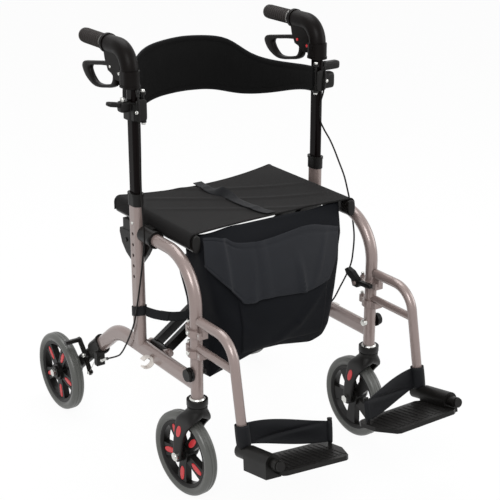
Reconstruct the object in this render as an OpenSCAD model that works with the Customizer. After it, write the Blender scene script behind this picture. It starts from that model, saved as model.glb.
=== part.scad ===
// Rollator transport chair, millimetres, Z up, front of the chair towards -Y, floor at Z = 0.
// One module per sub-part. Every side part is drawn once for +X and mirrored for the left.

/* [Side frame] */
// Half distance between the two lower rails
side_x = 246; // [215:1:280]
// Front tube axis, half distance from the middle
front_x = 243; // [212:1:277]
// Upright axis, half distance from the middle
upright_x = 250; // [219:1:284]
// Front tube axis along the chair
front_y = -183; // [-220:1:-150]
// Upright axis along the chair
upright_y = 48; // [20:1:80]
// Lower rail axis height
rail_z = 292; // [270:1:320]
// Point where the straight rail would meet the slanted part
rail_bend_y = 158; // [120:1:190]
// Bend radius of the lower rail axis
rail_bend_r = 120; // [80:1:150]
// Height of the arch axis
arch_z = 574; // [520:1:620]
// Bend radius of the arch axis
arch_r = 107; // [70:1:120]
// Outer diameter of the front tube
tube_d = 28; // [25:0.5:32]
// Flat-oval tube, long dimension
oval_h = 38; // [32:0.5:44]
// Flat-oval tube, short dimension
oval_w = 22; // [18:0.5:26]
// Tube wall
wall = 2; // [1.2:0.1:3]
// Top of the upright
upright_top = 640; // [600:1:680]
// Pitch of the height holes
hole_pitch = 25.6; // [20:0.1:30]
// Number of height holes
hole_count = 6; // [3:1:7]
// Highest height hole, below the top of the upright
hole_drop = 43; // [20:1:80]

/* [Wheels] */
// Wheel diameter over the tyre
wheel_d = 200; // [150:1:220]
// Tyre width
tyre_w = 32; // [24:1:40]
// Rear wheel, half distance of the wheel planes from the middle
rear_x = 285; // [262:1:320]
// Rear axle along the chair
axle_y = 399; // [340:1:430]
// Caster trail behind the swivel axis
trail = 45; // [20:1:60]
// Turn of the left caster at rest, degrees
turn_left = 5.5; // [-30:0.5:30]
// Turn of the right caster at rest, degrees
turn_right = 0; // [-30:0.5:30]
// Axle bolt diameter
axle_d = 12; // [8:1:14]
// Number of spokes
spokes = 5; // [3:1:7]

/* [Handles] */
// Bottom of the handle housing below the grip axis
housing_drop = 81; // [65:1:110]
// Height of the grip axis at the highest setting
grip_z = 985; // [950:1:1020]
// Grip, half distance from the middle
grip_x = 253; // [222:1:287]
// Start of the grip along the chair
grip_y = 146; // [120:1:170]
// Grip length
grip_len = 104; // [80:1:130]
// Grip diameter
grip_d = 33; // [28:0.5:38]

/* [Folding seat] */
// Seat rail, half distance from the middle
seat_x = 212; // [180:1:230]
// Seat rail axis height
seat_z = 593; // [560:1:620]
// Front end of the seat rails
seat_front = -139; // [-170:1:-110]
// Rear end of the seat rails
seat_rear = 192; // [170:1:240]
// Lower brace pivot, half distance from the middle
pivot_x = 222; // [190:1:224]
// Lower brace pivot height
pivot_z = 300; // [296:1:320]
// Middle of the crossed braces along the chair
brace_y = 4; // [-10:1:20]

/* [Footrests] */
// Angle of the hanger leg from the vertical
leg_tilt = 11; // [0:0.5:20]
// Upper hanger arm height
arm_z = 442; // [420:1:470]
// Lower hanger arm height
low_arm_z = 378; // [370:1:395]
// Hanger tube diameter
hanger_d = 22; // [18:0.5:25]
// Foot hinge axis height at the leg
foot_z = 206; // [170:1:240]
// Foot hinge axis along the chair at the leg
foot_y = -366; // [-390:1:-340]
// Droop of the left footplate at its stop, degrees
droop_left = 5; // [0:0.5:8]
// Droop of the right footplate at its stop, degrees
droop_right = 0; // [0:0.5:8]

/* [Fits] */
// Gap between welded or seated pieces
seat_gap = 0.15; // [0.05:0.05:0.3]
// Radial clearance of a running shaft
run = 0.05; // [0.02:0.01:0.1]
// Free gap between pieces that move past each other
free = 0.4; // [0.3:0.1:1]

/* [Hidden] */
$fn = 48;
paint = [0.61, 0.56, 0.54];
black = [0.12, 0.12, 0.12];
grey = [0.43, 0.42, 0.40];
steel = [0.75, 0.75, 0.76];
cloth = [0.22, 0.22, 0.23];
wheel_r = wheel_d / 2;
// Slanted part of the lower rail points straight at the axle
drop = atan((rail_z - wheel_r) / (axle_y - rail_bend_y));
bend_t = rail_bend_r * tan(drop / 2);
slant_y = rail_bend_y + bend_t * cos(drop);
slant_z = rail_z - bend_t * sin(drop);
slant_len = (axle_y - slant_y) / cos(drop);
rail_tail = 108;
socket_at = 66;
// Brake pivot on the slant, just ahead of the tyre
brake_y = axle_y - 90;
brake_z = wheel_r + 90 * tan(drop);
bar_y = axle_y - 61;
bar_z = wheel_r + 103;
// Brace geometry
fold_angle = atan((seat_z - pivot_z) / (seat_x + pivot_x));
cross_z = pivot_z + pivot_x * tan(fold_angle);
leg_a = 22.5;
leg_b = 8;
leg_t = 12;
pivot_half = leg_a + leg_t / 2 + 3.5;
hole_top = upright_top - hole_drop;
// Housing, backrest clamp and hinge hang from the grip
housing_z = grip_z - housing_drop;
elbow_r = 45;
clamp_z = housing_z - 67;
hinge_x = 234;
hinge_y = 31;
// Lever pivot
lever_y = grip_y - 35;
lever_z = grip_z - 45;
// Hanger corner where the arm and the leg would meet
knee_y = foot_y + (arm_z - foot_z) * tan(leg_tilt);
knee_r = 60;
knee_t = knee_r * tan((90 - leg_tilt) / 2);
eye_z = [366, 414];
// Route points of the two brake cables, each from the housing to the brake
cable_r = 2.5;
// A bend is drawn this much thicker than the straight tubes that run into it
bend_skin = 0.06;
route_left = [[-252, 22, housing_z - 1], [-256, 10, housing_z - 44], [-262, 0, housing_z - 124],
  [-266, -4, 690], [-266, 8, 545], [-266, 25, 372], [-266, 67, 291], [-265, 127, 242],
  [-262, 198, 193], [-262, 232, 186]];
route_right = [[252, 22, housing_z - 1], [254, 12, housing_z - 54], [258, 12, housing_z - 134],
  [262, 2, 700], [262, -36, 652], [262, -68, 592], [263, -86, 525], [264, -85, 461],
  [265, -46, 358], [266, 0, 292], [266, 80, 250],
  [265, 150, 215], [262, 198, 191], [262, 232, 186]];

// Helpers

module at_side(side) {
  mirror([side < 0 ? 1 : 0, 0, 0]) children();
}

// A caster's pieces, turned about its stem
module at_caster(side) {
  at_side(side) translate([front_x, front_y, 0]) rotate([0, 0, side < 0 ? -turn_left : turn_right])
    translate([-front_x, -front_y, 0]) children();
}

module oval(h, w) {
  square([w, h - w], center = true);
  translate([0, (h - w) / 2]) circle(d = w);
  translate([0, -(h - w) / 2]) circle(d = w);
}

module oval_ring(h, w, t) {
  difference() {
    oval(h, w);
    oval(h - 2 * t, w - 2 * t);
  }
}

// Rod along +X from x0 to x1 at y, z
module rod_x(y, z, x0, x1, r) {
  translate([x0, y, z]) rotate([0, 90, 0]) cylinder(r = r, h = x1 - x0);
}

// Rod along +Y
module rod_y(x, z, y0, y1, r) {
  translate([x, y0, z]) rotate([-90, 0, 0]) cylinder(r = r, h = y1 - y0);
}

// Plate with its outline given as y, z points, from x0 to x1
module plate_x(points, x0, x1) {
  translate([x0, 0, 0]) rotate([90, 0, 90]) linear_extrude(x1 - x0) polygon(points);
}

// Slanted direction of the lower rail, at distance s from the end of its bend
module on_slant(s) {
  translate([side_x, slant_y + s * cos(drop), slant_z - s * sin(drop)])
    rotate([-90 - drop, 0, 0]) children();
}

// Closed skin through rings of equal point count
module skin(rings) {
  n = len(rings[0]);
  m = len(rings);
  points = [for (r = rings) each r];
  sides = [for (i = [0:m - 2], j = [0:n - 1])
    [i * n + j, i * n + (j + 1) % n, (i + 1) * n + (j + 1) % n, (i + 1) * n + j]];
  tris = [for (f = sides) each [[f[0], f[1], f[2]], [f[0], f[2], f[3]]]];
  cap0 = [for (j = [1:n - 2]) [0, j + 1, j]];
  cap1 = [for (j = [1:n - 2]) [(m - 1) * n, (m - 1) * n + j, (m - 1) * n + j + 1]];
  polyhedron(points, concat(tris, cap0, cap1));
}

// The same for a sheet: the second half of each ring runs back along the first
module sheet_skin(rings) {
  n = len(rings[0]);
  m = len(rings);
  points = [for (r = rings) each r];
  sides = [for (i = [0:m - 2], j = [0:n - 1])
    [i * n + j, i * n + (j + 1) % n, (i + 1) * n + (j + 1) % n, (i + 1) * n + j]];
  cap0 = [for (j = [0:n / 2 - 2]) [j, n - 1 - j, n - 2 - j, j + 1]];
  cap1 = [for (j = [0:n / 2 - 2]) [for (k = [j, j + 1, n - 2 - j, n - 1 - j]) (m - 1) * n + k]];
  tris = [for (f = concat(sides, cap0, cap1)) each [[f[0], f[1], f[2]], [f[0], f[2], f[3]]]];
  polyhedron(points, tris);
}

function lerp(a, b, t) = a + (b - a) * t;
function smooth(t) = t * t * (3 - 2 * t);
function clamp01(t) = max(0, min(1, t));
function unit(v) = v / norm(v);
// Smooth curve through the points of a route
function curve_at(p, i, t) = let(
  a = p[max(0, i - 1)], b = p[i], c = p[i + 1], d = p[min(len(p) - 1, i + 2)])
  0.5 * (2 * b + (c - a) * t + (2 * a - 5 * b + 4 * c - d) * t * t
    + (3 * b - a - 3 * c + d) * t * t * t);
function curve(p, steps) = concat([for (i = [0:len(p) - 2], k = [0:steps - 1])
  curve_at(p, i, k / steps)], [p[len(p) - 1]]);
function tangent(c, i) = unit(c[min(len(c) - 1, i + 1)] - c[max(0, i - 1)]);
function ring_at(c, i, r, n) = let(
  t = tangent(c, i), u = unit(cross(t, [1, 0.1, 0])), v = cross(t, u))
  [for (k = [0:n - 1]) c[i] + r * (cos(360 * k / n) * u + sin(360 * k / n) * v)];

// Side frame

module lower_rail_body() {
  pivot_front = brace_y - pivot_half - free;
  pivot_back = brace_y + pivot_half + free;
  difference() {
    union() {
      translate([side_x, front_y, rail_z]) rotate([-90, 0, 0])
        linear_extrude(rail_bend_y - bend_t - front_y + 1) oval_ring(oval_h, oval_w, wall);
      translate([side_x, rail_bend_y - bend_t, rail_z - rail_bend_r]) rotate([0, 90, 0])
        rotate([0, 0, 180 - drop]) rotate_extrude(angle = drop, $fn = 96)
          translate([rail_bend_r, 0]) rotate(90) oval_ring(oval_h + 2 * bend_skin,
            oval_w + 2 * bend_skin, wall + 2 * bend_skin);
      on_slant(-1) linear_extrude(rail_tail + 1) oval_ring(oval_h, oval_w, wall);
      rail_lug(pivot_front - 6);
      rail_lug(pivot_back);
      rod_y(pivot_x, pivot_z, pivot_front - 12, pivot_back + 12, 4);
      rod_y(pivot_x, pivot_z, pivot_front - 13, pivot_front - 6.5, 7);
      rod_y(pivot_x, pivot_z, pivot_back + 6.5, pivot_back + 13, 7);
    }
    translate([front_x, front_y, rail_z - 60]) cylinder(d = tube_d + 2 * seat_gap, h = 120);
  }
}

module rail_lug(y0) {
  rod_y(pivot_x, pivot_z, y0, y0 + 6, 9);
  translate([pivot_x, y0, pivot_z - 9]) cube([side_x - oval_w / 2 + 1 - pivot_x, 6, 18]);
}

module upright_body() {
  bottom = rail_z + oval_h / 2 - oval_w / 2 + 3;
  difference() {
    translate([upright_x, upright_y, bottom]) linear_extrude(upright_top - bottom)
      oval_ring(oval_h, oval_w, wall);
    translate([side_x, upright_y - 40, rail_z]) rotate([-90, 0, 0])
      linear_extrude(80) oval(oval_h + 2 * seat_gap, oval_w + 2 * seat_gap);
    for (i = [0:hole_count - 1])
      rod_x(upright_y, hole_top - i * hole_pitch, upright_x, upright_x + 30, 4);
  }
}

module front_tube_body() {
  bottom = 256;
  end_y = upright_y - oval_h / 2 - 6;
  difference() {
    union() {
      translate([front_x, front_y, bottom]) linear_extrude(arch_z - arch_r - bottom + 1) tube_ring(0);
      translate([front_x, front_y + arch_r, arch_z - arch_r]) rotate([0, 90, 0])
        rotate([0, 0, 180]) rotate_extrude(angle = 90, $fn = 96)
          translate([arch_r, 0]) tube_ring(bend_skin);
      translate([front_x, front_y + arch_r - 1, arch_z]) rotate([-90, 0, 0])
        linear_extrude(end_y - front_y - arch_r + 1) tube_ring(0);
    }
    rod_x(front_y, rail_z + 24, front_x - 30, front_x + 30, 4.2);
  }
}

module tube_ring(extra) {
  difference() {
    circle(d = tube_d + 2 * extra);
    circle(d = tube_d - 2 * wall - 2 * extra);
  }
}

module upright_collar_body() {
  translate([upright_x, upright_y, upright_top - 2]) difference() {
    union() {
      linear_extrude(28) oval(oval_h + 4, oval_w + 4);
      translate([0, 0, 24]) linear_extrude(5) oval(oval_h + 6.5, oval_w + 6.5);
    }
    translate([0, 0, -1]) linear_extrude(3 + seat_gap)
      oval(oval_h + 2 * seat_gap, oval_w + 2 * seat_gap);
    translate([0, 0, -1]) linear_extrude(40)
      oval(oval_h - 2 * wall - 0.1, oval_w - 2 * wall - 0.1);
  }
}

// Sleeve of the arch, bracket on the inner face of the upright and cradle of the seat rail
module arch_bracket_body() {
  inner = upright_x - oval_w / 2 - seat_gap;
  face = upright_y - oval_h / 2 - seat_gap;
  difference() {
    union() {
      rod_y(front_x, arch_z, face - 54, face, 18);
      rod_y(front_x, arch_z, face - 54, face - 48, 19.5);
      plate_x([[0, 562], [0, 592], [28, 592], [70, 566], [92, 558], [146, 555], [148, 545],
        [138, 520], [120, 501], [94, 487], [64, 484], [30, 520]], inner - 11, inner);
      plate_x([[88, 545], [88, 582], [132, 582], [132, 545]], seat_x - 16, inner - 1);
      rod_x(118, 532, inner - 13, inner + 2.5, 5);
    }
    rod_y(front_x, arch_z, face - 60, upright_y - oval_h / 2 - 5, tube_d / 2 + seat_gap);
    translate([seat_x, 80, seat_z]) rotate([-90, 0, 0])
      linear_extrude(60) oval(oval_h + 8, 20 + 8);
  }
}

// Black socket on the rail end with the axle boss
module wheel_socket_body() {
  difference() {
    union() {
      on_slant(socket_at) linear_extrude(56) oval(oval_h + 9, oval_w + 8);
      on_slant(socket_at) linear_extrude(7) oval(oval_h + 12, oval_w + 10);
      on_slant(socket_at + 54) linear_extrude(slant_len - socket_at - 54)
        oval(32, 20);
      rod_x(axle_y, wheel_r, side_x - 12, side_x + 18, 19);
      rod_x(brake_y, brake_z, side_x, side_x + 11, 8);
      rod_x(brake_y, brake_z, side_x, side_x + 19, 4);
      // Cable stop below the sleeve
      translate([side_x + 4, 226, 176]) cube([22, 14, 34]);
    }
    on_slant(-5) linear_extrude(rail_tail + 5 + seat_gap)
      oval(oval_h + 2 * seat_gap, oval_w + 2 * seat_gap);
    rod_x(axle_y, wheel_r, side_x - 60, side_x + 60, axle_d / 2 + 0.1);
    rod_y(262, 186, 200, 245, 3);
  }
}

module rear_axle_body() {
  rod_x(axle_y, wheel_r, side_x - 22, rear_x + 24, axle_d / 2);
  rod_x(axle_y, wheel_r, side_x - 20, side_x - 12 - seat_gap, 10);
  translate([rear_x + 19.6, axle_y, wheel_r]) rotate([0, 90, 0]) cylinder(r = 10, h = 7, $fn = 6);
}

// Hand knob outside the front tube with its through bolt
module rail_knob_body() {
  z = rail_z + 24;
  rod_x(front_y, z, front_x - 20, front_x + 18, 4);
  rod_x(front_y, z, front_x - 21, front_x - 14.5, 7);
  difference() {
    union() {
      rod_x(front_y, z, front_x + 15.2, front_x + 22, 16);
      rod_x(front_y, z, front_x + 21, front_x + 28, 14);
    }
    for (i = [0:7])
      translate([front_x + 20, front_y, z]) rotate([i * 45, 0, 0])
        translate([0, 0, 17]) rotate([0, 90, 0]) cylinder(r = 3.5, h = 10);
    translate([front_x + 15, front_y - 20, z - 20]) cube([0.3, 40, 6]);
  }
}

// Hook clip that hugs the outer side and the bottom of the rail
module rail_clip_body() {
  translate([side_x, brace_y - 17, rail_z]) rotate([-90, 0, 0]) linear_extrude(14) difference() {
    union() {
      oval(oval_h + 6, oval_w + 6);
      translate([9, 25]) circle(r = 10);
    }
    oval(oval_h + 0.3, oval_w + 0.3);
    translate([-26, -40]) square([22, 54]);
    translate([9, 27]) circle(r = 6.5);
    translate([9, 20]) square([20, 8]);
  }
}

// Wheels

module tyre_at(x, y) {
  b = wheel_r - 19;
  h = tyre_w / 2;
  translate([x, y, wheel_r]) rotate([0, 90, 0]) rotate_extrude($fn = 96) difference() {
    union() {
      translate([b, -h + 4]) square([13, 2 * h - 8]);
      translate([b, -h + 10]) square([19, 2 * h - 20]);
      translate([wheel_r - 10, h - 10]) circle(r = 10);
      translate([wheel_r - 10, -h + 10]) circle(r = 10);
    }
    for (v = [-4, 4]) translate([wheel_r, v]) circle(r = 1.2);
    translate([0, -50]) square([b, 100]);
  }
}

module rim_at(x, y, bore, phase) {
  b = wheel_r - 19 - seat_gap;
  translate([x, y, wheel_r]) rotate([0, 90, 0]) difference() {
    union() {
      rotate_extrude($fn = 96) polygon([[b - 9, -9], [b - 4, -12], [b, -12], [b, 12], [b - 4, 12],
        [b - 9, 9]]);
      translate([0, 0, -19]) cylinder(r = 15, h = 38);
      translate([0, 0, -14]) cylinder(r = 22, h = 28);
      for (i = [0:spokes - 1]) rotate([0, 0, i * 360 / spokes + phase]) {
        translate([0, 0, -8]) linear_extrude(16)
          polygon([[12, -11], [40, -13], [b - 5, -17], [b - 5, 17], [40, 13], [12, 11]]);
      }
    }
    translate([0, 0, -40]) cylinder(r = bore, h = 80);
    for (i = [0:spokes - 1]) rotate([0, 0, i * 360 / spokes + phase])
      translate([52, 0, 6.5]) linear_extrude(4) rotate(90) oval(37, 15);
  }
}

module brake_arm_body() {
  x0 = side_x + 11 + free;
  difference() {
    union() {
      rod_x(brake_y, brake_z, x0, x0 + 6, 9);
      plate_x([[brake_y - 7, brake_z - 4], [brake_y - 31, brake_z - 38], [brake_y - 24, brake_z - 46],
        [brake_y - 15, brake_z - 44], [brake_y + 7, brake_z - 4], [bar_y + 7, bar_z - 3],
        [bar_y + 4, bar_z + 6], [bar_y - 6, bar_z + 6], [brake_y - 7, brake_z + 6]], x0, x0 + 6);
      rod_x(bar_y, bar_z, x0 + 1, rear_x + 15, 6);
      rod_x(brake_y - 22, brake_z - 39, x0 - 3, x0 + 8, 4);
    }
    rod_x(brake_y, brake_z, 0, 400, 4 + run);
  }
}

// Front caster

// Outline of one arm behind the stem axis: nose under the crown, waist, axle eye, swept back edge
function fork_arm() = curve([[-20, 228], [-15, 206], [-8, 194], [5, 181], [16, 163], [22, 146], [27, 120],
  [trail - 13, 98], [trail - 9, 89], [trail, 86], [trail + 9, 89], [trail + 13, 98], [57, 120],
  [56, 141], [51, 165], [43, 191], [24, 217], [6, 231]], 3);

module caster_fork_body() {
  stem_r = tube_d / 2 - wall - run;
  cy = front_y + trail;
  difference() {
    union() {
      translate([front_x, front_y, 205]) cylinder(r1 = 26, r2 = 21.5, h = 30);
      translate([front_x, front_y, 234]) cylinder(r = 20.5, h = 4);
      translate([front_x, front_y, 237]) cylinder(r = 22.5, h = 8);
      translate([front_x, front_y, 244]) cylinder(r = 21, h = 4);
      translate([front_x, front_y, 247]) cylinder(r = 24.5, h = 15);
      plate_x([for (p = fork_arm()) [front_y + p[0], p[1]]], front_x - 28, front_x + 28);
    }
    // Cup round the foot of the front tube
    translate([front_x, front_y, 255.4]) cylinder(r = 18.5, h = 20);
    rod_x(cy, wheel_r, front_x - 20, front_x + 20, wheel_r + 6);
    plate_x([[cy - 120, 0], [cy - 60, 180], [cy + 60, 180], [cy + 120, 0]],
      front_x - 20, front_x + 20);
    rod_x(cy, wheel_r, 0, 400, axle_d / 2 + 0.1);
    for (s = [-1, 1]) translate([front_x + s * 28, front_y + 33, 168]) rotate([20, 0, 0])
      rotate([0, 90, 0]) linear_extrude(3, center = true) rotate(90) oval(34, 15);
  }
  translate([front_x, front_y, 240]) cylinder(r = stem_r, h = 56);
}

module caster_axle_body() {
  cy = front_y + trail;
  rod_x(cy, wheel_r, front_x - 34, front_x + 34, axle_d / 2);
  rod_x(cy, wheel_r, front_x + 28 + seat_gap, front_x + 33, 10);
  translate([front_x - 35, cy, wheel_r]) rotate([0, 90, 0])
    cylinder(r = 10, h = 7 - seat_gap, $fn = 6);
}

// Handles

module handle_tube_body() {
  translate([upright_x, upright_y, 566]) linear_extrude(housing_z + 34 - 566)
    oval_ring(oval_h - 2 * wall - 0.8, oval_w - 2 * wall - 0.8, wall);
}

module handle_housing_body() {
  rise = grip_z - elbow_r - housing_z;
  difference() {
    union() {
      translate([grip_x, upright_y + 4, housing_z]) linear_extrude(rise + 1) oval(50, 38);
      translate([grip_x, upright_y + 4, housing_z]) linear_extrude(5) oval(52, 40);
      housing_elbow();
      rod_y(grip_x, grip_z, upright_y + 3 + elbow_r, grip_y - 4, 19.9);
      rod_y(grip_x, grip_z, grip_y - 9, grip_y, 22);
      rod_y(grip_x, grip_z, grip_y - 1, grip_y + grip_len - 20, 9);
      for (s = [-1, 1]) translate([grip_x + s * 11.4 - 3, lever_y, lever_z])
        plate_x([[-41, -25], [-41, 35], [29, 35], [23, 12], [11, -10], [-3, -14], [-21, -25]], 0, 6);
      rod_x(lever_y, lever_z, grip_x - 12, grip_x + 12, 4);
    }
    translate([upright_x, upright_y, housing_z - 1]) linear_extrude(35 + seat_gap)
      oval(oval_h - 2 * wall - 0.8 + 2 * seat_gap, oval_w - 2 * wall - 0.8 + 2 * seat_gap);
  }
}

module housing_elbow() {
  translate([grip_x, upright_y + 4 + elbow_r, grip_z - elbow_r]) rotate([0, 90, 0])
    rotate([0, 0, 180]) rotate_extrude(angle = 90, $fn = 96)
      translate([elbow_r, 0]) circle(r = 20);
}

module grip_body() {
  r = grip_d / 2;
  translate([grip_x, grip_y + seat_gap, grip_z]) rotate([-90, 0, 0]) difference() {
    rotate_extrude($fn = 64) difference() {
      union() {
        square([r - 1, grip_len]);
        square([r + 3, 5]);
        for (i = [0:10]) translate([r - 1.6, 14 + i * 8]) circle(r = 2.4);
        translate([0, grip_len - 7]) square([r, 5]);
        translate([0, grip_len - 3]) square([r - 4, 6]);
      }
      translate([-50, -10]) square([50, 200]);
    }
    translate([0, 0, -1]) cylinder(r = 9 + seat_gap, h = grip_len - 18);
  }
}

// Loop lever under the grip, drawn from its pivot
module brake_lever_body() {
  translate([grip_x, lever_y, lever_z]) difference() {
    union() {
      rod_x(0, 0, -8, 8, 9);
      plate_x([[-7, 6], [7, 8], [129, -12], [141, -17], [145, -25], [141, -33], [95, -60], [85, -63],
        [75, -62], [23, -50], [7, -42], [-3, -28]], -8, 8);
    }
    plate_x([[9, -9], [17, -5], [125, -22], [129, -26], [91, -50], [85, -52], [79, -52], [25, -40],
      [13, -32]], -20, 20);
    rod_x(0, 0, -50, 50, 4 + run);
  }
}

// Split clamp with a bolt block in front, hinge for the band and a thumb lever
module backrest_clamp_body(lift) {
  difference() {
    union() {
      translate([upright_x, upright_y, clamp_z - 2]) linear_extrude(40) oval(50, 33);
      translate([upright_x + 1, upright_y - 27.5, clamp_z]) cube([13.5, 27, 36]);
      translate([hinge_x, hinge_y - 5, clamp_z + 1]) cube([12, 12, 7]);
      translate([hinge_x, hinge_y - 5, clamp_z + 27]) cube([12, 12, 7]);
      translate([hinge_x, hinge_y, clamp_z - 8]) cylinder(r = 3, h = 66);
      translate([hinge_x, hinge_y, clamp_z + 53]) cylinder(r = 6.5, h = 6);
      translate([hinge_x, hinge_y, clamp_z - 9]) cylinder(r = 6.5, h = 6);
      // Thumb lever on the outside
      translate([upright_x + 13.5, upright_y - 7, clamp_z + 22]) cube([7, 14, 7 + lift]);
      translate([upright_x + 12, upright_y - 9, clamp_z + 26 + lift]) rotate([0, -8, 0]) cube([30, 18, 6]);
    }
    translate([upright_x, upright_y, clamp_z - 10]) linear_extrude(80)
      oval(oval_h - 2 * wall - 0.8 + 2 * seat_gap, oval_w - 2 * wall - 0.8 + 2 * seat_gap);
  }
}

module brake_cable_at(route) {
  c = curve(route, 3);
  skin([for (i = [0:len(c) - 1]) ring_at(c, i, cable_r, 8)]);
}

// Footrest hanger turning on the front tube

module hanger_body() {
  difference() {
    union() {
      rod_y(front_x, arm_z, knee_y + knee_t - 1, front_y - tube_d / 2 - 2, hanger_d / 2);
      translate([front_x, knee_y + knee_t, arm_z - knee_r]) rotate([0, 90, 0])
        rotate([0, 0, 180]) hanger_knee();
      hanger_leg(hanger_d / 2, 0);
      rod_y(front_x, low_arm_z, knee_y - (arm_z - low_arm_z) * tan(leg_tilt), front_y - 10, 9);
      for (z = eye_z) {
        translate([front_x, front_y, z - 8]) cylinder(r = 20, h = 16);
        translate([front_x - 11, front_y - 30, z - 8]) cube([22, 22, 16]);
        translate([front_x - 7, front_y + 8, z - 8]) cube([14, 22, 16]);
        translate([front_x, front_y + 30, z - 8]) cylinder(r = 7, h = 16);
        translate([front_x, front_y + 30, z - 10]) cylinder(r = 4, h = 24);
      }
      // Uprights of the eyes that carry the two arms
      translate([front_x - 4, front_y - 32, eye_z[1]]) cube([8, 14, arm_z - eye_z[1]]);
    }
    translate([front_x, front_y, 300]) cylinder(r = tube_d / 2 + run + 0.03, h = 160);
  }
}

module hanger_knee() {
  rotate_extrude(angle = 90 - leg_tilt, $fn = 96) translate([knee_r, 0]) circle(d = hanger_d + 2 * bend_skin);
}

module hanger_leg(r, extra) {
  translate([front_x, foot_y, foot_z]) rotate([-leg_tilt, 0, 0]) translate([0, 0, -extra])
    cylinder(r = r, h = (arm_z - foot_z) / cos(leg_tilt) - knee_t + extra + 1);
}

// Lever that frees the hanger, on the inner side of the upper eye
module hanger_latch_body() {
  difference() {
    union() {
      plate_x([[-178, 416], [-172, 426], [-152, 440], [-134, 444], [-126, 438], [-132, 428],
        [-150, 420], [-156, 406], [-172, 406]], front_x - 34, front_x - 22);
      rod_x(-166, 416, front_x - 35, front_x - 21, 8);
    }
    rod_x(-166, 416, 0, 400, 3 + run);
  }
}

module latch_pin() {
  rod_x(-166, 416, front_x - 38, front_x - 2, 3);
  rod_x(-166, 416, front_x - 39, front_x - 35.5, 5);
}

// Foot hinge frame: origin on the hinge axis at the leg, -Y forward along the axis
module at_foot() {
  translate([front_x, foot_y, foot_z]) rotate([-leg_tilt, 0, 0]) children();
}

module foot_block_body() {
  difference() {
    at_foot() {
      translate([0, 15, 0]) rotate([90, 0, 0]) cylinder(r = 16, h = 37);
      cylinder(r = 13.5, h = 24);
      rotate([90, 0, 0]) cylinder(r = 8, h = 100);
      translate([0, -96, 0]) rotate([90, 0, 0]) cylinder(r = 11, h = 18);
      translate([0, -112, 0]) rotate([90, 0, 0]) cylinder(r = 12, h = 14);
      translate([0, -125, 0]) rotate([90, 0, 0]) cylinder(r = 10.5, h = 6);
    }
    at_foot() translate([0, 0, -2]) cylinder(r = hanger_d / 2 + seat_gap, h = 60);
  }
}

// Plate with its hinge housing, tread ribs and the post of the heel strap
module footplate_body(droop) {
  at_foot() rotate([0, -droop, 0]) difference() {
    union() {
      translate([0, -22 - free, 0]) rotate([90, 0, 0]) cylinder(r = 19, h = 82);
      translate([-19, -104 - free, -31]) cube([38, 82, 31]);
      translate([0, 0, -22]) linear_extrude(10) polygon([[-16, -24], [-28, -15], [-184, -15],
        [-193, -19], [-197, -28], [-197, -78], [-176, -126], [-168, -131], [-16, -131], [-8, -127],
        [-6, -118], [-6, -24]]);
      for (i = [0:11]) translate([-178 + i * 13, -118, -13]) cube([7, 92, 1.8]);
      translate([-190, -46, -14]) cylinder(r = 4.5, h = 58);
      translate([-190, -46, 43]) cylinder(r = 5.5, h = 4);
    }
    translate([0, 10, 0]) rotate([90, 0, 0]) cylinder(r = 8 + run, h = 200);
    translate([0, -95.5, 0]) rotate([90, 0, 0]) cylinder(r = 11 + free, h = 16);
    translate([0, -104 - free, 0]) rotate([90, 0, 0]) cylinder(r = 12 + free, h = 60);
  }
}

// Point of the plate's frame after its droop
function drooped(p, a) = [p[0] * cos(a) - p[2] * sin(a), p[1], p[0] * sin(a) + p[2] * cos(a)];

// Webbing from its sleeve on the hanger leg to its loop on the post of the footplate
module heel_strap_body(droop) {
  n = 14;
  at_foot() {
    difference() {
      translate([0, 0, 16.6]) cylinder(r = 15.4, h = 48);
      translate([0, 0, 10]) cylinder(r = 13.8, h = 60);
    }
    rotate([0, -droop, 0]) translate([-190, -46, -6.6]) difference() {
      cylinder(r = 6.4, h = 49);
      translate([0, 0, -1]) cylinder(r = 4.9, h = 51);
    }
    skin([for (i = [0:n]) let(
      t = i / n,
      x = lerp(-14.6, -184.6, t),
      y = lerp(1.7, -45.2, t) + 22 * sin(180 * t),
      z = lerp(40.8, 18, smooth(t)),
      k = lerp(23.6, 23, t))
      [for (q = [[y - 1.3, z - k], [y + 1.3, z - k], [y + 1.9, z], [y + 1.3, z + k], [y - 1.3, z + k],
        [y - 0.7, z]]) let(p = [x, q[0], q[1]]) lerp(p, drooped(p, droop), t)]]);
  }
}

// Folding seat

module brace_leg(y, a, b) {
  translate([0, y, cross_z]) rotate([0, -fold_angle, 0])
    translate([-a, -leg_t / 2, -11]) cube([a + b, leg_t, 22]);
}

module brace_body(offset, pin) {
  a = norm([pivot_x, cross_z - pivot_z]);
  b = norm([seat_x, seat_z - cross_z]);
  difference() {
    union() {
      for (s = [-1, 1]) brace_leg(brace_y + s * offset, a - 6, b - 12);
      rod_y(-pivot_x, pivot_z, brace_y - pivot_half, brace_y + pivot_half, 10);
      translate([seat_x, seat_front, seat_z]) rotate([-90, 0, 0])
        linear_extrude(seat_rear - seat_front) oval(oval_h, 20);
      if (pin) rod_y(0, cross_z, brace_y - pivot_half - 4, brace_y + pivot_half + 4, 6);
    }
    rod_y(-pivot_x, pivot_z, -200, 200, 4 + run);
    if (!pin) rod_y(0, cross_z, -200, 200, 6 + run);
  }
}

// Fabric sling: a lip round each rail and a sagging sheet between them
module seat() {
  color(cloth) sheet_skin([for (i = [0:12]) seat_ring(lerp(seat_front + 6, seat_rear - 2, i / 12), i / 12)]);
}

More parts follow.
